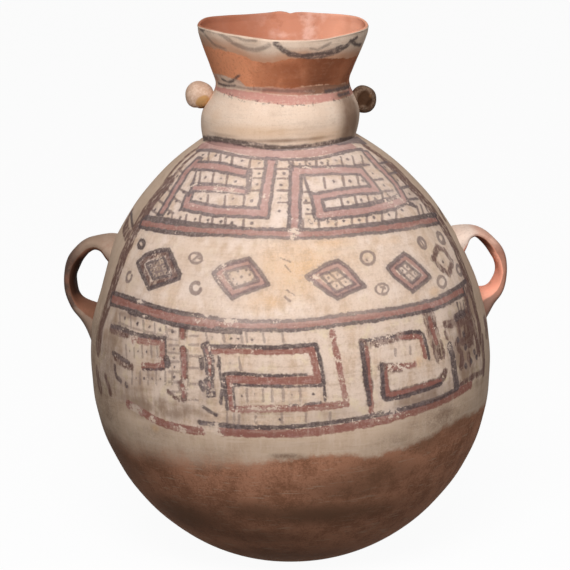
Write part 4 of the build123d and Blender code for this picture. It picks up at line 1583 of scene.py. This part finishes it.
@dataclass
class PaintedBody:
    """Bowl and wall courses, each a closed shell: outside, upper seam, inside and lower seam."""

    columns: tuple[int, int, int] = (720, 420, 60)
    bowl_columns: tuple[int, int, int] = (480, 260, 50)
    row_step: float = 1.3
    bowl_step: float = 5.0
    paint_foot: float = 100.0
    inner_rows: int = 6
    ball_rows: int = 16
    seat_rings: tuple[float, ...] = (8.0, 18.0, 27.0)
    floor_rings: tuple[float, ...] = (28.0, 12.0)
    work: Brushwork = field(default_factory=lambda: Brushwork(WALL_PAINTING))

    def paint(self, piece: Object, grid: WallGrid, seat: int = 0) -> None:
        """Stores the paint layers of a shell's outside; a seat below it is bare red clay.

        Args:
            piece: the shell.
            grid: its outer rows.
            seat: number of points on the seat, stored before the outer rows, with its pole after all rows.
        """
        angle, run, _ = grid
        outer = slice(seat, seat + len(run) * len(angle))
        layers = self.work.layers(grid)
        layers["panel"] = self.work.panel(grid)
        closing = self.work.edge(CLOSING_STRIPE[1].points + CLOSING_STRIPE[2].points, angle)
        layers["under"] = np.clip(closing[None, :] - run[:, None], -FAR, FAR)
        # real stains and wear, together with the painted shade in the soot and smudge layers
        stains_and_shade = {"wear": WEAR, "fade": FADE, "smudge_and_shade": SMUDGE_AND_SHADE, "ochre": OCHRE, "soot_and_shade": SOOT_AND_SHADE}
        layers |= {name: self.work.patches(marks, grid) for name, marks in stains_and_shade.items()}
        store_layers(piece, layers, {"bar": FAR, "panel": FAR} | dict.fromkeys(stains_and_shade, 0.0), outer)
        count = len(piece.data.vertices)
        base, inside = np.full(count, -FAR), np.ones(count)
        edge = self.work.edge(BASE_BORDER, angle)
        base[outer] = np.clip(edge[None, :] - run[:, None], -FAR * 2, FAR * 2).ravel()
        inside[: outer.stop] = 0.0
        if seat:
            base[:seat], base[-2:], inside[-2] = FAR, FAR, 0.0
        set_layer(piece, "base", base)
        set_layer(piece, "inside", inside)

    def course(self, name: str, low: float, high: float, low_bevel: float, high_bevel: float) -> Object:
        """Wall course between two heights: the outside turned about the axis, and the inside one wall in.

        Args:
            name: name of the course.
            low: height of its lower seam in mm.
            high: height of its upper seam in mm.
            low_bevel: fall of the lower seam towards the inside in mm.
            high_bevel: fall of the upper seam towards the inside in mm.

        Returns:
            The course, with its paint.
        """
        angle = spokes(*self.columns)
        run, r, z = FORM.stretch(low, high, self.row_step)
        inner_run = np.linspace(run[-1] - high_bevel, run[0] - low_bevel, self.inner_rows)
        ri, zi = FORM.inner_offset(inner_run, FORM.body_wall)
        swell = FORM.unevenness(angle[None, :], z[:, None])
        points = np.concatenate([
            FORM.place(angle[None, :], r[:, None] + swell, z[:, None]),
            FORM.place(angle[None, :], ri[:, None], zi[:, None]),
        ])
        piece = grid_mesh(name, points)
        mark_sharp(piece, len(angle), 0, len(run) - 1)
        self.paint(piece, WallGrid(angle, run, r))
        return piece

    def bowl(self, name: str) -> Object:
        """Bowl: from the middle of the seat up the ball to its edge, and back down inside to the floor.

        Args:
            name: name of the bowl.

        Returns:
            The bowl, with its paint.
        """
        angle = spokes(*self.bowl_columns)
        plain_end, edge = FORM.run_at(np.array([self.paint_foot, FORM.turn_height]))
        run = np.concatenate([np.linspace(0, plain_end, int(plain_end / self.bowl_step), endpoint=False),
                              np.linspace(plain_end, edge, int((edge - plain_end) / self.row_step))])
        r, z = FORM.at_run(run)
        seat = np.array(self.seat_rings)
        inner_ball = FORM.ball_radius - FORM.body_wall
        floor_turn = math.asin((FORM.floor_thickness - FORM.ball_level) / inner_ball)
        turn = np.linspace(math.radians(FORM.belly_turn), floor_turn, self.ball_rows)
        ri = np.concatenate([inner_ball * np.cos(turn), self.floor_rings])
        level = [FORM.floor_thickness] * len(self.floor_rings)
        zi = np.concatenate([FORM.ball_level + inner_ball * np.sin(turn), level])
        swell = FORM.unevenness(angle[None, :], z[:, None])
        points = np.concatenate([
            FORM.place(angle[None, :], seat[:, None], 0.0 * seat[:, None]),
            FORM.place(angle[None, :], r[:, None] + swell, z[:, None]),
            FORM.place(angle[None, :], ri[:, None], zi[:, None]),
        ])
        poles = FORM.place(np.zeros(2), np.zeros(2), np.array([0.0, FORM.floor_thickness]))
        piece = grid_mesh(name, points, poles)
        mark_sharp(piece, len(angle), len(seat) + len(run) - 1)
        self.paint(piece, WallGrid(angle, run, r), len(seat) * len(angle))
        return piece

    def build(self) -> None:
        """Builds and dresses the bowl and the three courses."""
        material = WallFinish().build()
        slope = FORM.seam_slope
        hand_in(self.bowl("bowl_shell"), material, "red_slip", "base_bowl")
        seams = (
            ("lower_belly_shell", "lower_belly_course", FORM.turn_height, FORM.lower_belly_top, 0.0, slope),
            ("belly_shell", "belly_course", FORM.lower_belly_top, FORM.belly_top, slope, slope),
            ("shoulder_shell", "shoulder_course", FORM.belly_top, FORM.collar_foot[1], slope, slope))
        for name, node, low, high, low_bevel, high_bevel in seams:
            hand_in(self.course(name, low, high, low_bevel, high_bevel), material, "painted_slip", node)


@dataclass
class Neck:
    """Collar, funnel and lip, each a closed ring; all three share one material of the neck's slips."""

    columns: tuple[int, int, int] = (420, 200, 40)
    row_step: float = 0.9
    lip_taper: float = 3.0
    taper_heights: tuple[float, float] = (416.0, 446.0)
    lip_rise: float = 1.5
    lip_cut: float = 1.4
    swell: float = 0.8
    inner_turn: float = 0.7
    bare_turn: tuple[float, float] = (0.2, 1.4)
    fleck_spread: float = 1.6
    inner_rows: int = 18
    lip_rows: int = 10
    collar_ochre: tuple[Blot, ...] = blots(
        (215, 118, 9, 9, 0.5), (250, 132, 40, 5, 0.7), (330, 135, 26, 7, 0.6), (205, 130, 10, 8, 0.4))
    # A brown stain and painted shade at the collar's right end beside the right lug, and painted shade along
    # its foot
    collar_grime_and_shade: tuple[Blot, ...] = blots(
        (352, 120, 14, 24, 0.95), (344, 95, 10, 4, 0.9), (275, 141, 50, 1.6, 0.6), (222, 135, 16, 1.6, 0.5))
    work: Brushwork = field(default_factory=lambda: Brushwork(SWAGS + TOP_BORDER))

    def ring(self, name: str, low: float, high: float, low_bevel: float, high_bevel: float,
             lip: bool) -> Object:
        """Closed ring of the neck: outside, top and inside, where a lip's top is half an oval.

        Args:
            name: name of the ring.
            low: height of its lower edge in mm.
            high: height of its upper edge in mm.
            low_bevel: fall of the lower seam towards the inside in mm.
            high_bevel: fall of the upper seam towards the inside in mm.
            lip: whether the top is rounded over.

        Returns:
            The ring, with its paint.
        """
        angle = spokes(*self.columns)
        run, r, z = FORM.stretch(low, high, self.row_step)
        inner_run = np.linspace(run[-1] - high_bevel, run[0] - low_bevel, self.inner_rows)
        wall = FORM.neck_wall - self.lip_taper * smoothstep(*self.taper_heights, FORM.at_run(inner_run)[1])
        ri, zi = FORM.inner_offset(inner_run, wall)
        swell = FORM.unevenness(angle[None, :], z[:, None]) * self.swell
        parts = [FORM.place(angle[None, :], r[:, None] + swell, z[:, None])]
        turn = np.linspace(0, math.pi, self.lip_rows + 2)[1:-1]
        if lip:
            middle, half = (r[-1] + ri[0]) / 2, (r[-1] - ri[0]) / 2
            rise = (z[-1] + zi[0]) / 2 + self.lip_rise * np.sin(turn) + (z[-1] - zi[0]) / 2 * np.cos(turn)
            parts.append(FORM.place(angle[None, :], (middle + half * np.cos(turn))[:, None], rise[:, None]))
        inner_swell = FORM.unevenness(angle[None, :] + self.inner_turn, zi[:, None]) * self.swell
        parts.append(FORM.place(angle[None, :], ri[:, None] + inner_swell, zi[:, None]))
        points = np.concatenate(parts)
        piece = grid_mesh(name, points)
        mark_sharp(piece, len(angle), 0, len(points) - 1, *([] if lip else [len(run) - 1, len(run)]))
        self.paint(piece, WallGrid(angle, run, r), turn if lip else None)
        return piece

    def paint(self, piece: Object, grid: WallGrid, turn: Array | None) -> None:
        """Stores the paint layers of a ring; its inside, and a lip's top from its middle, is bare clay.

        Args:
            piece: the ring.
            grid: its outer rows.
            turn: angles over a lip's top, if it has one.
        """
        angle, run, _ = grid
        layers = self.work.layers(grid)
        for name, top, foot in (("band", RED_BAND_TOP, RED_BAND_FOOT), ("gap", RED_BAND_FOOT, PINK_BAND_TOP),
                                ("pink", PINK_BAND_TOP, PINK_BAND_FOOT)):
            above = self.work.edge(top, angle)[None, :] - run[:, None]
            below = run[:, None] - self.work.edge(foot, angle)[None, :]
            layers[name] = np.clip(np.minimum(above, below), -FAR, FAR)
        foot = run[:, None] - self.work.edge(PINK_BAND_FOOT, angle)[None, :]
        layers["flecks"] = np.exp(-((foot / self.fleck_spread) ** 2))
        layers["ochre"] = self.work.patches(self.collar_ochre, grid)
        layers["grime_and_shade"] = self.work.patches(self.collar_grime_and_shade, grid)
        count, outer = len(piece.data.vertices), len(run) * len(angle)
        store_layers(piece, layers, {"bar": FAR, "ochre": 0.0, "flecks": 0.0, "grime_and_shade": 0.0}, slice(0, outer))
        inside = np.ones(count)
        inside[:outer] = 0.0
        if turn is not None:
            bare = smoothstep(*self.bare_turn, turn)
            inside[outer:outer + len(turn) * len(angle)] = np.repeat(bare, len(angle))
        set_layer(piece, "inside", inside)
        # the side layer, the sine of the angle, places the painted light and shade of the neck's finish
        set_layer(piece, "side", np.tile(np.sin(angle), count // len(angle)))

    def build(self) -> None:
        """Builds and dresses the collar, the funnel and the lip."""
        material = NeckFinish().build()
        slope, waist, foot = FORM.seam_slope, FORM.waist_height, FORM.lip_foot_height
        rings = (("collar_shell", "collar", "cream_slip", FORM.collar_foot[1], waist, slope, slope),
                 ("funnel_shell", "neck_funnel", "neck_slip", waist, foot, slope, 0.0),
                 ("lip_shell", "rim_coil", "neck_slip", foot, FORM.rim_height - self.lip_cut, 0.0, 0.0))
        for name, node, slot, low, high, low_bevel, high_bevel in rings:
            ring = self.ring(name, low, high, low_bevel, high_bevel, node == "rim_coil")
            hand_in(ring, material, slot, node)


@dataclass
class Loop:
    """Strap handle with its packed roots: an oval section carried between two lines in an upright plane.

    The outer and the inner line are knots of distance from the axis and height in mm, with the section's half
    breadth at each pair; both ends lie inside the wall.  The inner face carries painted shade over a stretch,
    given by its middle and its spread as shares of the line.
    """

    name: str
    side: str
    azimuth: float
    outer: Points
    inner: Points
    # middle and spread of the painted shade on the inner face, as shares of the line
    shaded_stretch: tuple[float, float]
    finish: LoopFinish
    half_breadth: tuple[float, ...] = (
        33, 30, 26, 20, 15.5, 13.5, 12.6, 12.4, 12.4, 12.6, 13, 14, 17, 22, 28, 33)
    bury: float = 5.0
    power: float = 0.82
    dents: tuple[tuple[float, float, float], ...] = ((0.035, 7.0, 3), (0.025, 3.4, -2))
    root_share: float = 0.12
    inner_from: tuple[float, float] = (-0.15, 0.55)
    rows: int = 200
    columns: int = 72

    def build(self) -> Object:
        """Carries the section along: each row is an oval between the two lines, as deep as their gap.

        The oval is a circle whose sine and cosine are raised to power, with shallow dents in waves.  Points
        that would lie deeper than bury in the wall are pushed out to that depth.

        Returns:
            The dressed handle.
        """
        outer, inner = np.array(self.outer), np.array(self.inner)
        middle, half = (outer + inner) / 2, (outer - inner) / 2
        at = travelled(middle)
        t = np.linspace(0, at[-1], self.rows)
        knots = (*middle.T, *half.T, self.half_breadth)
        r, z, hr, hz, broad = (smooth_curve(at, values, t)[:, None] for values in knots)
        a = np.linspace(0, 2 * math.pi, self.columns, endpoint=False)
        wide, deep = (np.sign(c) * np.abs(c) ** self.power for c in (np.cos(a), np.sin(a)))
        dent = 1 + sum(depth * np.sin(t[:, None] / pitch + count * a) for depth, pitch, count in self.dents)
        across, depth = broad * wide[None, :] * dent, deep[None, :] * dent
        rad, up = r + hr * depth, z + hz * depth
        turn = math.radians(self.azimuth)
        out, along = np.array([math.sin(turn), -math.cos(turn)]), np.array([math.cos(turn), math.sin(turn)])
        x, y = rad * out[0] + across * along[0], rad * out[1] + across * along[1]
        push = np.maximum(1.0, (FORM.outer_radius(up) - self.bury) / np.hypot(x, y))
        points = np.stack([x * push, y * push, up], axis=-1) * MM
        piece = grid_mesh(self.name, points, points[[0, -1]].mean(axis=1))
        share = t / at[-1]
        free = smoothstep(0.0, self.root_share, share) * smoothstep(0.0, self.root_share, 1 - share)
        inward = smoothstep(*self.inner_from, -deep)[None, :] * free[:, None]
        # stretch of painted shade on the inner face
        stretch = np.exp(-(((share - self.shaded_stretch[0]) / self.shaded_stretch[1]) ** 2))
        layers = {"face": inward, "inner_shade": inward * stretch[:, None], "along": np.repeat(share, self.columns)}
        for name, values in layers.items():
            set_layer(piece, name, np.concatenate([values.ravel(), [0.0, float(name == "along")]]))
        nodes = [f"{self.side}_{part}" for part in ("handle", "upper_wad", "lower_wad")]
        return hand_in(piece, self.finish.build(), "handle_slip", *nodes)


class Hollow(Enum):
    """Shape of a lug's hollow."""

    GROOVE = "groove"
    DIMPLE = "dimple"


@dataclass
class Lug:
    """Pellet pressed on the collar: a ball with a hollow in it.

    Each point lies at the ball's radius, times a slow unevenness, less the depth of the hollow, which is a
    bell curve of the distance from a groove's plane, or of how far the point turns from a dimple's middle.
    """

    name: str
    node: str
    centre: tuple[float, float, float]
    radii: tuple[float, float, float]
    hollow: Hollow
    hollow_way: tuple[float, float, float]
    hollow_offset: float
    hollow_depth: float
    hollow_breadth: float
    stain_at: tuple[float, float, float]
    finish: LugFinish
    waves: tuple[tuple[float, float, float, float], ...] = ((0.03, 2, 1, 0.5), (0.022, 3, -4, 1.0))
    ragged: float = 0.1
    stain_from: float = 0.72
    rows: int = 72
    columns: int = 96

    def build(self) -> Object:
        """Works out the ball on a grid of latitude and longitude and closes its poles.

        Returns:
            The dressed lug.
        """
        lat = np.linspace(-math.pi / 2, math.pi / 2, self.rows + 2)[1:-1][:, None]
        lon = np.linspace(0, 2 * math.pi, self.columns, endpoint=False)[None, :]
        way = np.stack([np.cos(lat) * np.cos(lon), np.cos(lat) * np.sin(lon), np.sin(lat) + 0 * lon], axis=-1)
        way = np.vstack([way.reshape(-1, 3), [[0, 0, -1], [0, 0, 1]]])
        x, z = way[:, 0], way[:, 2]
        aim = np.asarray(self.hollow_way, float)
        aim /= np.linalg.norm(aim)
        gap = way @ aim - (self.hollow_offset if self.hollow is Hollow.GROOVE else 1.0)
        if self.hollow is Hollow.DIMPLE:
            gap -= self.ragged * np.sin(5 * x - 4 * z)
        bell = np.exp(-((gap / self.hollow_breadth) ** 2))
        uneven = 1 + sum(swell * np.sin(m * x + n * z + start) for swell, m, n, start in self.waves)
        reach = (uneven - self.hollow_depth * bell)[:, None]
        points = (np.asarray(self.centre) + way * np.asarray(self.radii) * reach) * MM
        piece = grid_mesh(self.name, points[:-2].reshape(self.rows, self.columns, 3), points[-2:])
        # the hollow layer places the painted shade of the hollow
        set_layer(piece, "hollow", bell)
        stain = np.asarray(self.stain_at, float)
        set_layer(piece, "stain", smoothstep(self.stain_from, 1.0, way @ (stain / np.linalg.norm(stain))))
        return hand_in(piece, self.finish.build(), "cream_slip", self.node)


@dataclass
class Studio:
    """Pale floor, soft light and the camera."""

    key_place: tuple[float, float, float] = (-0.22, -2.5, 2.25)
    key_size: float = 1.5
    key_power: float = 99.0
    fill_place: tuple[float, float, float] = (2.3, -2.2, 1.5)
    fill_size: float = 1.8
    fill_power: float = 13.0
    aim: tuple[float, float, float] = (0.0, 0.0, 0.26)
    sky: float = 0.16
    floor_grey: float = 0.18
    floor_white: float = 0.95
    glow: float = 0.95
    floor_half: float = 12.0

    def lamp(self, name: str, place: tuple[float, float, float], size: float, power: float) -> None:
        """Square soft light aimed at the jar.

        Args:
            name: name of the lamp.
            place: where it stands in metres.
            size: side of the square in metres.
            power: power in watts.
        """
        data = bpy.data.lights.new(name, "AREA")
        data.size, data.energy = size, power
        lamp = add_object(name, data)
        lamp.location = place
        lamp.rotation_euler = (Vector(self.aim) - Vector(place)).to_track_quat("-Z", "Y").to_euler()

    def backdrop_share(self, graph: Shade) -> Value:
        """Picks out the rays that show the background: from the camera, or by gloss or glass.

        Args:
            graph: the graph that asks.

        Returns:
            1 for such rays and 0 for the others.
        """
        path = graph.node("ShaderNodeLightPath").outputs
        share = Value(graph, path["Is Camera Ray"])
        return share.most(Value(graph, path["Is Glossy Ray"])).most(Value(graph, path["Is Transmission Ray"]))

    def floor(self) -> None:
        """Wide plain floor, white to the eye, that keeps the jar's shadow."""
        mesh = bpy.data.meshes.new("floor")
        half = self.floor_half
        corners = [(-half, -half, 0), (half, -half, 0), (half, half, 0), (-half, half, 0)]
        mesh.from_pydata(corners, [], [(0, 1, 2, 3)])
        floor = add_object("floor", mesh)
        g = Shade(bpy.data.materials.new("floor_white"))
        grey, pale = [g.node("ShaderNodeBsdfDiffuse", {}, {"Color": (tone,) * 3}).outputs[0]
                      for tone in (self.floor_grey, self.floor_white)]
        white = g.node("ShaderNodeEmission", {}, {"Color": WHITE, "Strength": 1.0})
        seen = g.node("ShaderNodeMixShader", {}, {0: self.glow, 1: pale, 2: white.outputs[0]})
        both = g.node("ShaderNodeMixShader", {}, {0: self.backdrop_share(g), 1: grey, 2: seen.outputs[0]})
        g.node("ShaderNodeOutputMaterial", {}, {"Surface": both.outputs[0]})
        mesh.materials.append(g.owner)

    def build(self) -> None:
        """Sets the plain view, the sky, the lamps, the floor and the camera."""
        scene = bpy.context.scene
        scene.view_settings.view_transform = "Standard"
        scene.world = bpy.data.worlds.new("studio")
        g = Shade(scene.world)
        soft, white = (g.node("ShaderNodeBackground", {}, {"Color": WHITE, "Strength": strength}).outputs[0]
                       for strength in (self.sky, 1.0))
        both = g.node("ShaderNodeMixShader", {}, {0: self.backdrop_share(g), 1: soft, 2: white})
        g.node("ShaderNodeOutputWorld", {}, {"Surface": both.outputs[0]})
        self.lamp("key_light", self.key_place, self.key_size, self.key_power)
        self.lamp("fill_light", self.fill_place, self.fill_size, self.fill_power)
        self.floor()
        CAMERA.build()


# left handle: its dark inner face is painted shade, darker still over its middle
LEFT_LOOP_FINISH = LoopFinish(
    "left_handle_slip", ((0.43, 0.3, 0.225), (0.35, 0.24, 0.175), (0.105, 0.064, 0.049), (0.31, 0.21, 0.155)),
    ((0.1, 0.22), (0.22, 0.44), (0.69, 0.8)), (0.3, 0.13, 0.085), (0.2, 0.085, 0.05), (0.03, 0.012, 0.007))
# right handle: its bright inner face is painted light, with painted shadow under the strap's top
RIGHT_LOOP_FINISH = LoopFinish(
    "right_handle_slip", ((0.86, 0.67, 0.56), (0.74, 0.44, 0.335), (0.43, 0.2, 0.14), (0.36, 0.2, 0.15)),
    ((0.15, 0.24), (0.33, 0.46), (0.68, 0.8)), (0.5, 0.22, 0.145), (0.95, 0.42, 0.29), (0.1, 0.03, 0.014))
LEFT_LUG_FINISH = LugFinish(
    "left_lug_slip", (0.56, 0.37, 0.265), (0.7, 0.5, 0.38), (0.3, 0.15, 0.06), (0.5, 0.27, 0.09))
# right lug: all its colours dark, painted shade, as it lies in the neck's shadow
RIGHT_LUG_FINISH = LugFinish(
    "right_lug_slip", (0.085, 0.044, 0.026), (0.19, 0.125, 0.085), (0.05, 0.022, 0.01), (0.17, 0.08, 0.03))


def attachments() -> list[Loop | Lug]:
    """Handles and lugs, with their sizes read beside the solids and the picture.

    Returns:
        The two handles and the two lugs, not yet built.
    """
    left = Loop(
        "left_loop", "left", -98.0,
        as_points((138, 271, 145, 272.3, 151, 272.9, 157, 273.1, 163, 272.7, 170, 270.9, 178.6, 265.6,
                   185.8, 257.2, 189.8, 246.6, 190.7, 234.4, 189.4, 222.5, 184.6, 211.2, 177.2, 201.2,
                   171.5, 192, 166.5, 183.5, 158, 172)),
        as_points((138, 236, 146, 247, 151, 254.5, 155.6, 260.6, 161.5, 262.1, 167.6, 259.9, 173.3, 254,
                   178.2, 246, 180.9, 238.5, 181, 230.5, 179.3, 223.5, 175.2, 218, 167.5, 214.6, 160, 213.8,
                   152, 216, 146, 214)),
        (0.5, 0.22), LEFT_LOOP_FINISH)
    right = Loop(
        "right_loop", "right", 98.0,
        as_points((136, 270.5, 142.5, 272, 148.4, 272.9, 155.3, 273.2, 161.5, 272.1, 168.5, 268.6,
                   175.5, 262.8, 181.5, 255.6, 185.2, 245, 186.2, 234, 184.4, 223, 180, 213.4, 173.8, 206.1,
                   167.3, 196.6, 162.5, 187, 155, 175)),
        as_points((136, 238, 143.5, 249, 148.4, 257, 151.2, 263, 155.8, 265.2, 161, 263, 166.5, 257.6,
                   171.8, 249.6, 176.4, 241, 177.5, 234, 175.5, 227, 171, 221.6, 165, 220, 157, 221.5,
                   150, 222, 144, 220)),
        (0.28, 0.17), RIGHT_LOOP_FINISH)
    left_lug = Lug("left_lug_pellet", "left_lug", (-70.2, 0.0, 394.0), (12.0, 11.0, 11.6), Hollow.GROOVE,
                   (0.3, 0.1, -0.95), 0.84, 0.05, 0.1, (0.3, -0.9, -0.4), LEFT_LUG_FINISH)
    right_lug = Lug("right_lug_pellet", "right_lug", (65.8, 0.0, 386.8), (11.0, 10.8, 11.6), Hollow.DIMPLE,
                    (0.1, -0.96, 0.2), 0.0, 0.3, 0.3, (0.25, -0.95, 0.2), RIGHT_LUG_FINISH)
    return [left, right, left_lug, right_lug]


def main() -> None:
    """Builds the studio and every sub-assembly in order."""
    logging.basicConfig(level=logging.INFO, format="%(message)s")
    Studio().build()
    PaintedBody().build()
    Neck().build()
    for piece in attachments():
        piece.build()
    bpy.context.view_layer.update()


if __name__ == "__main__":
    main()
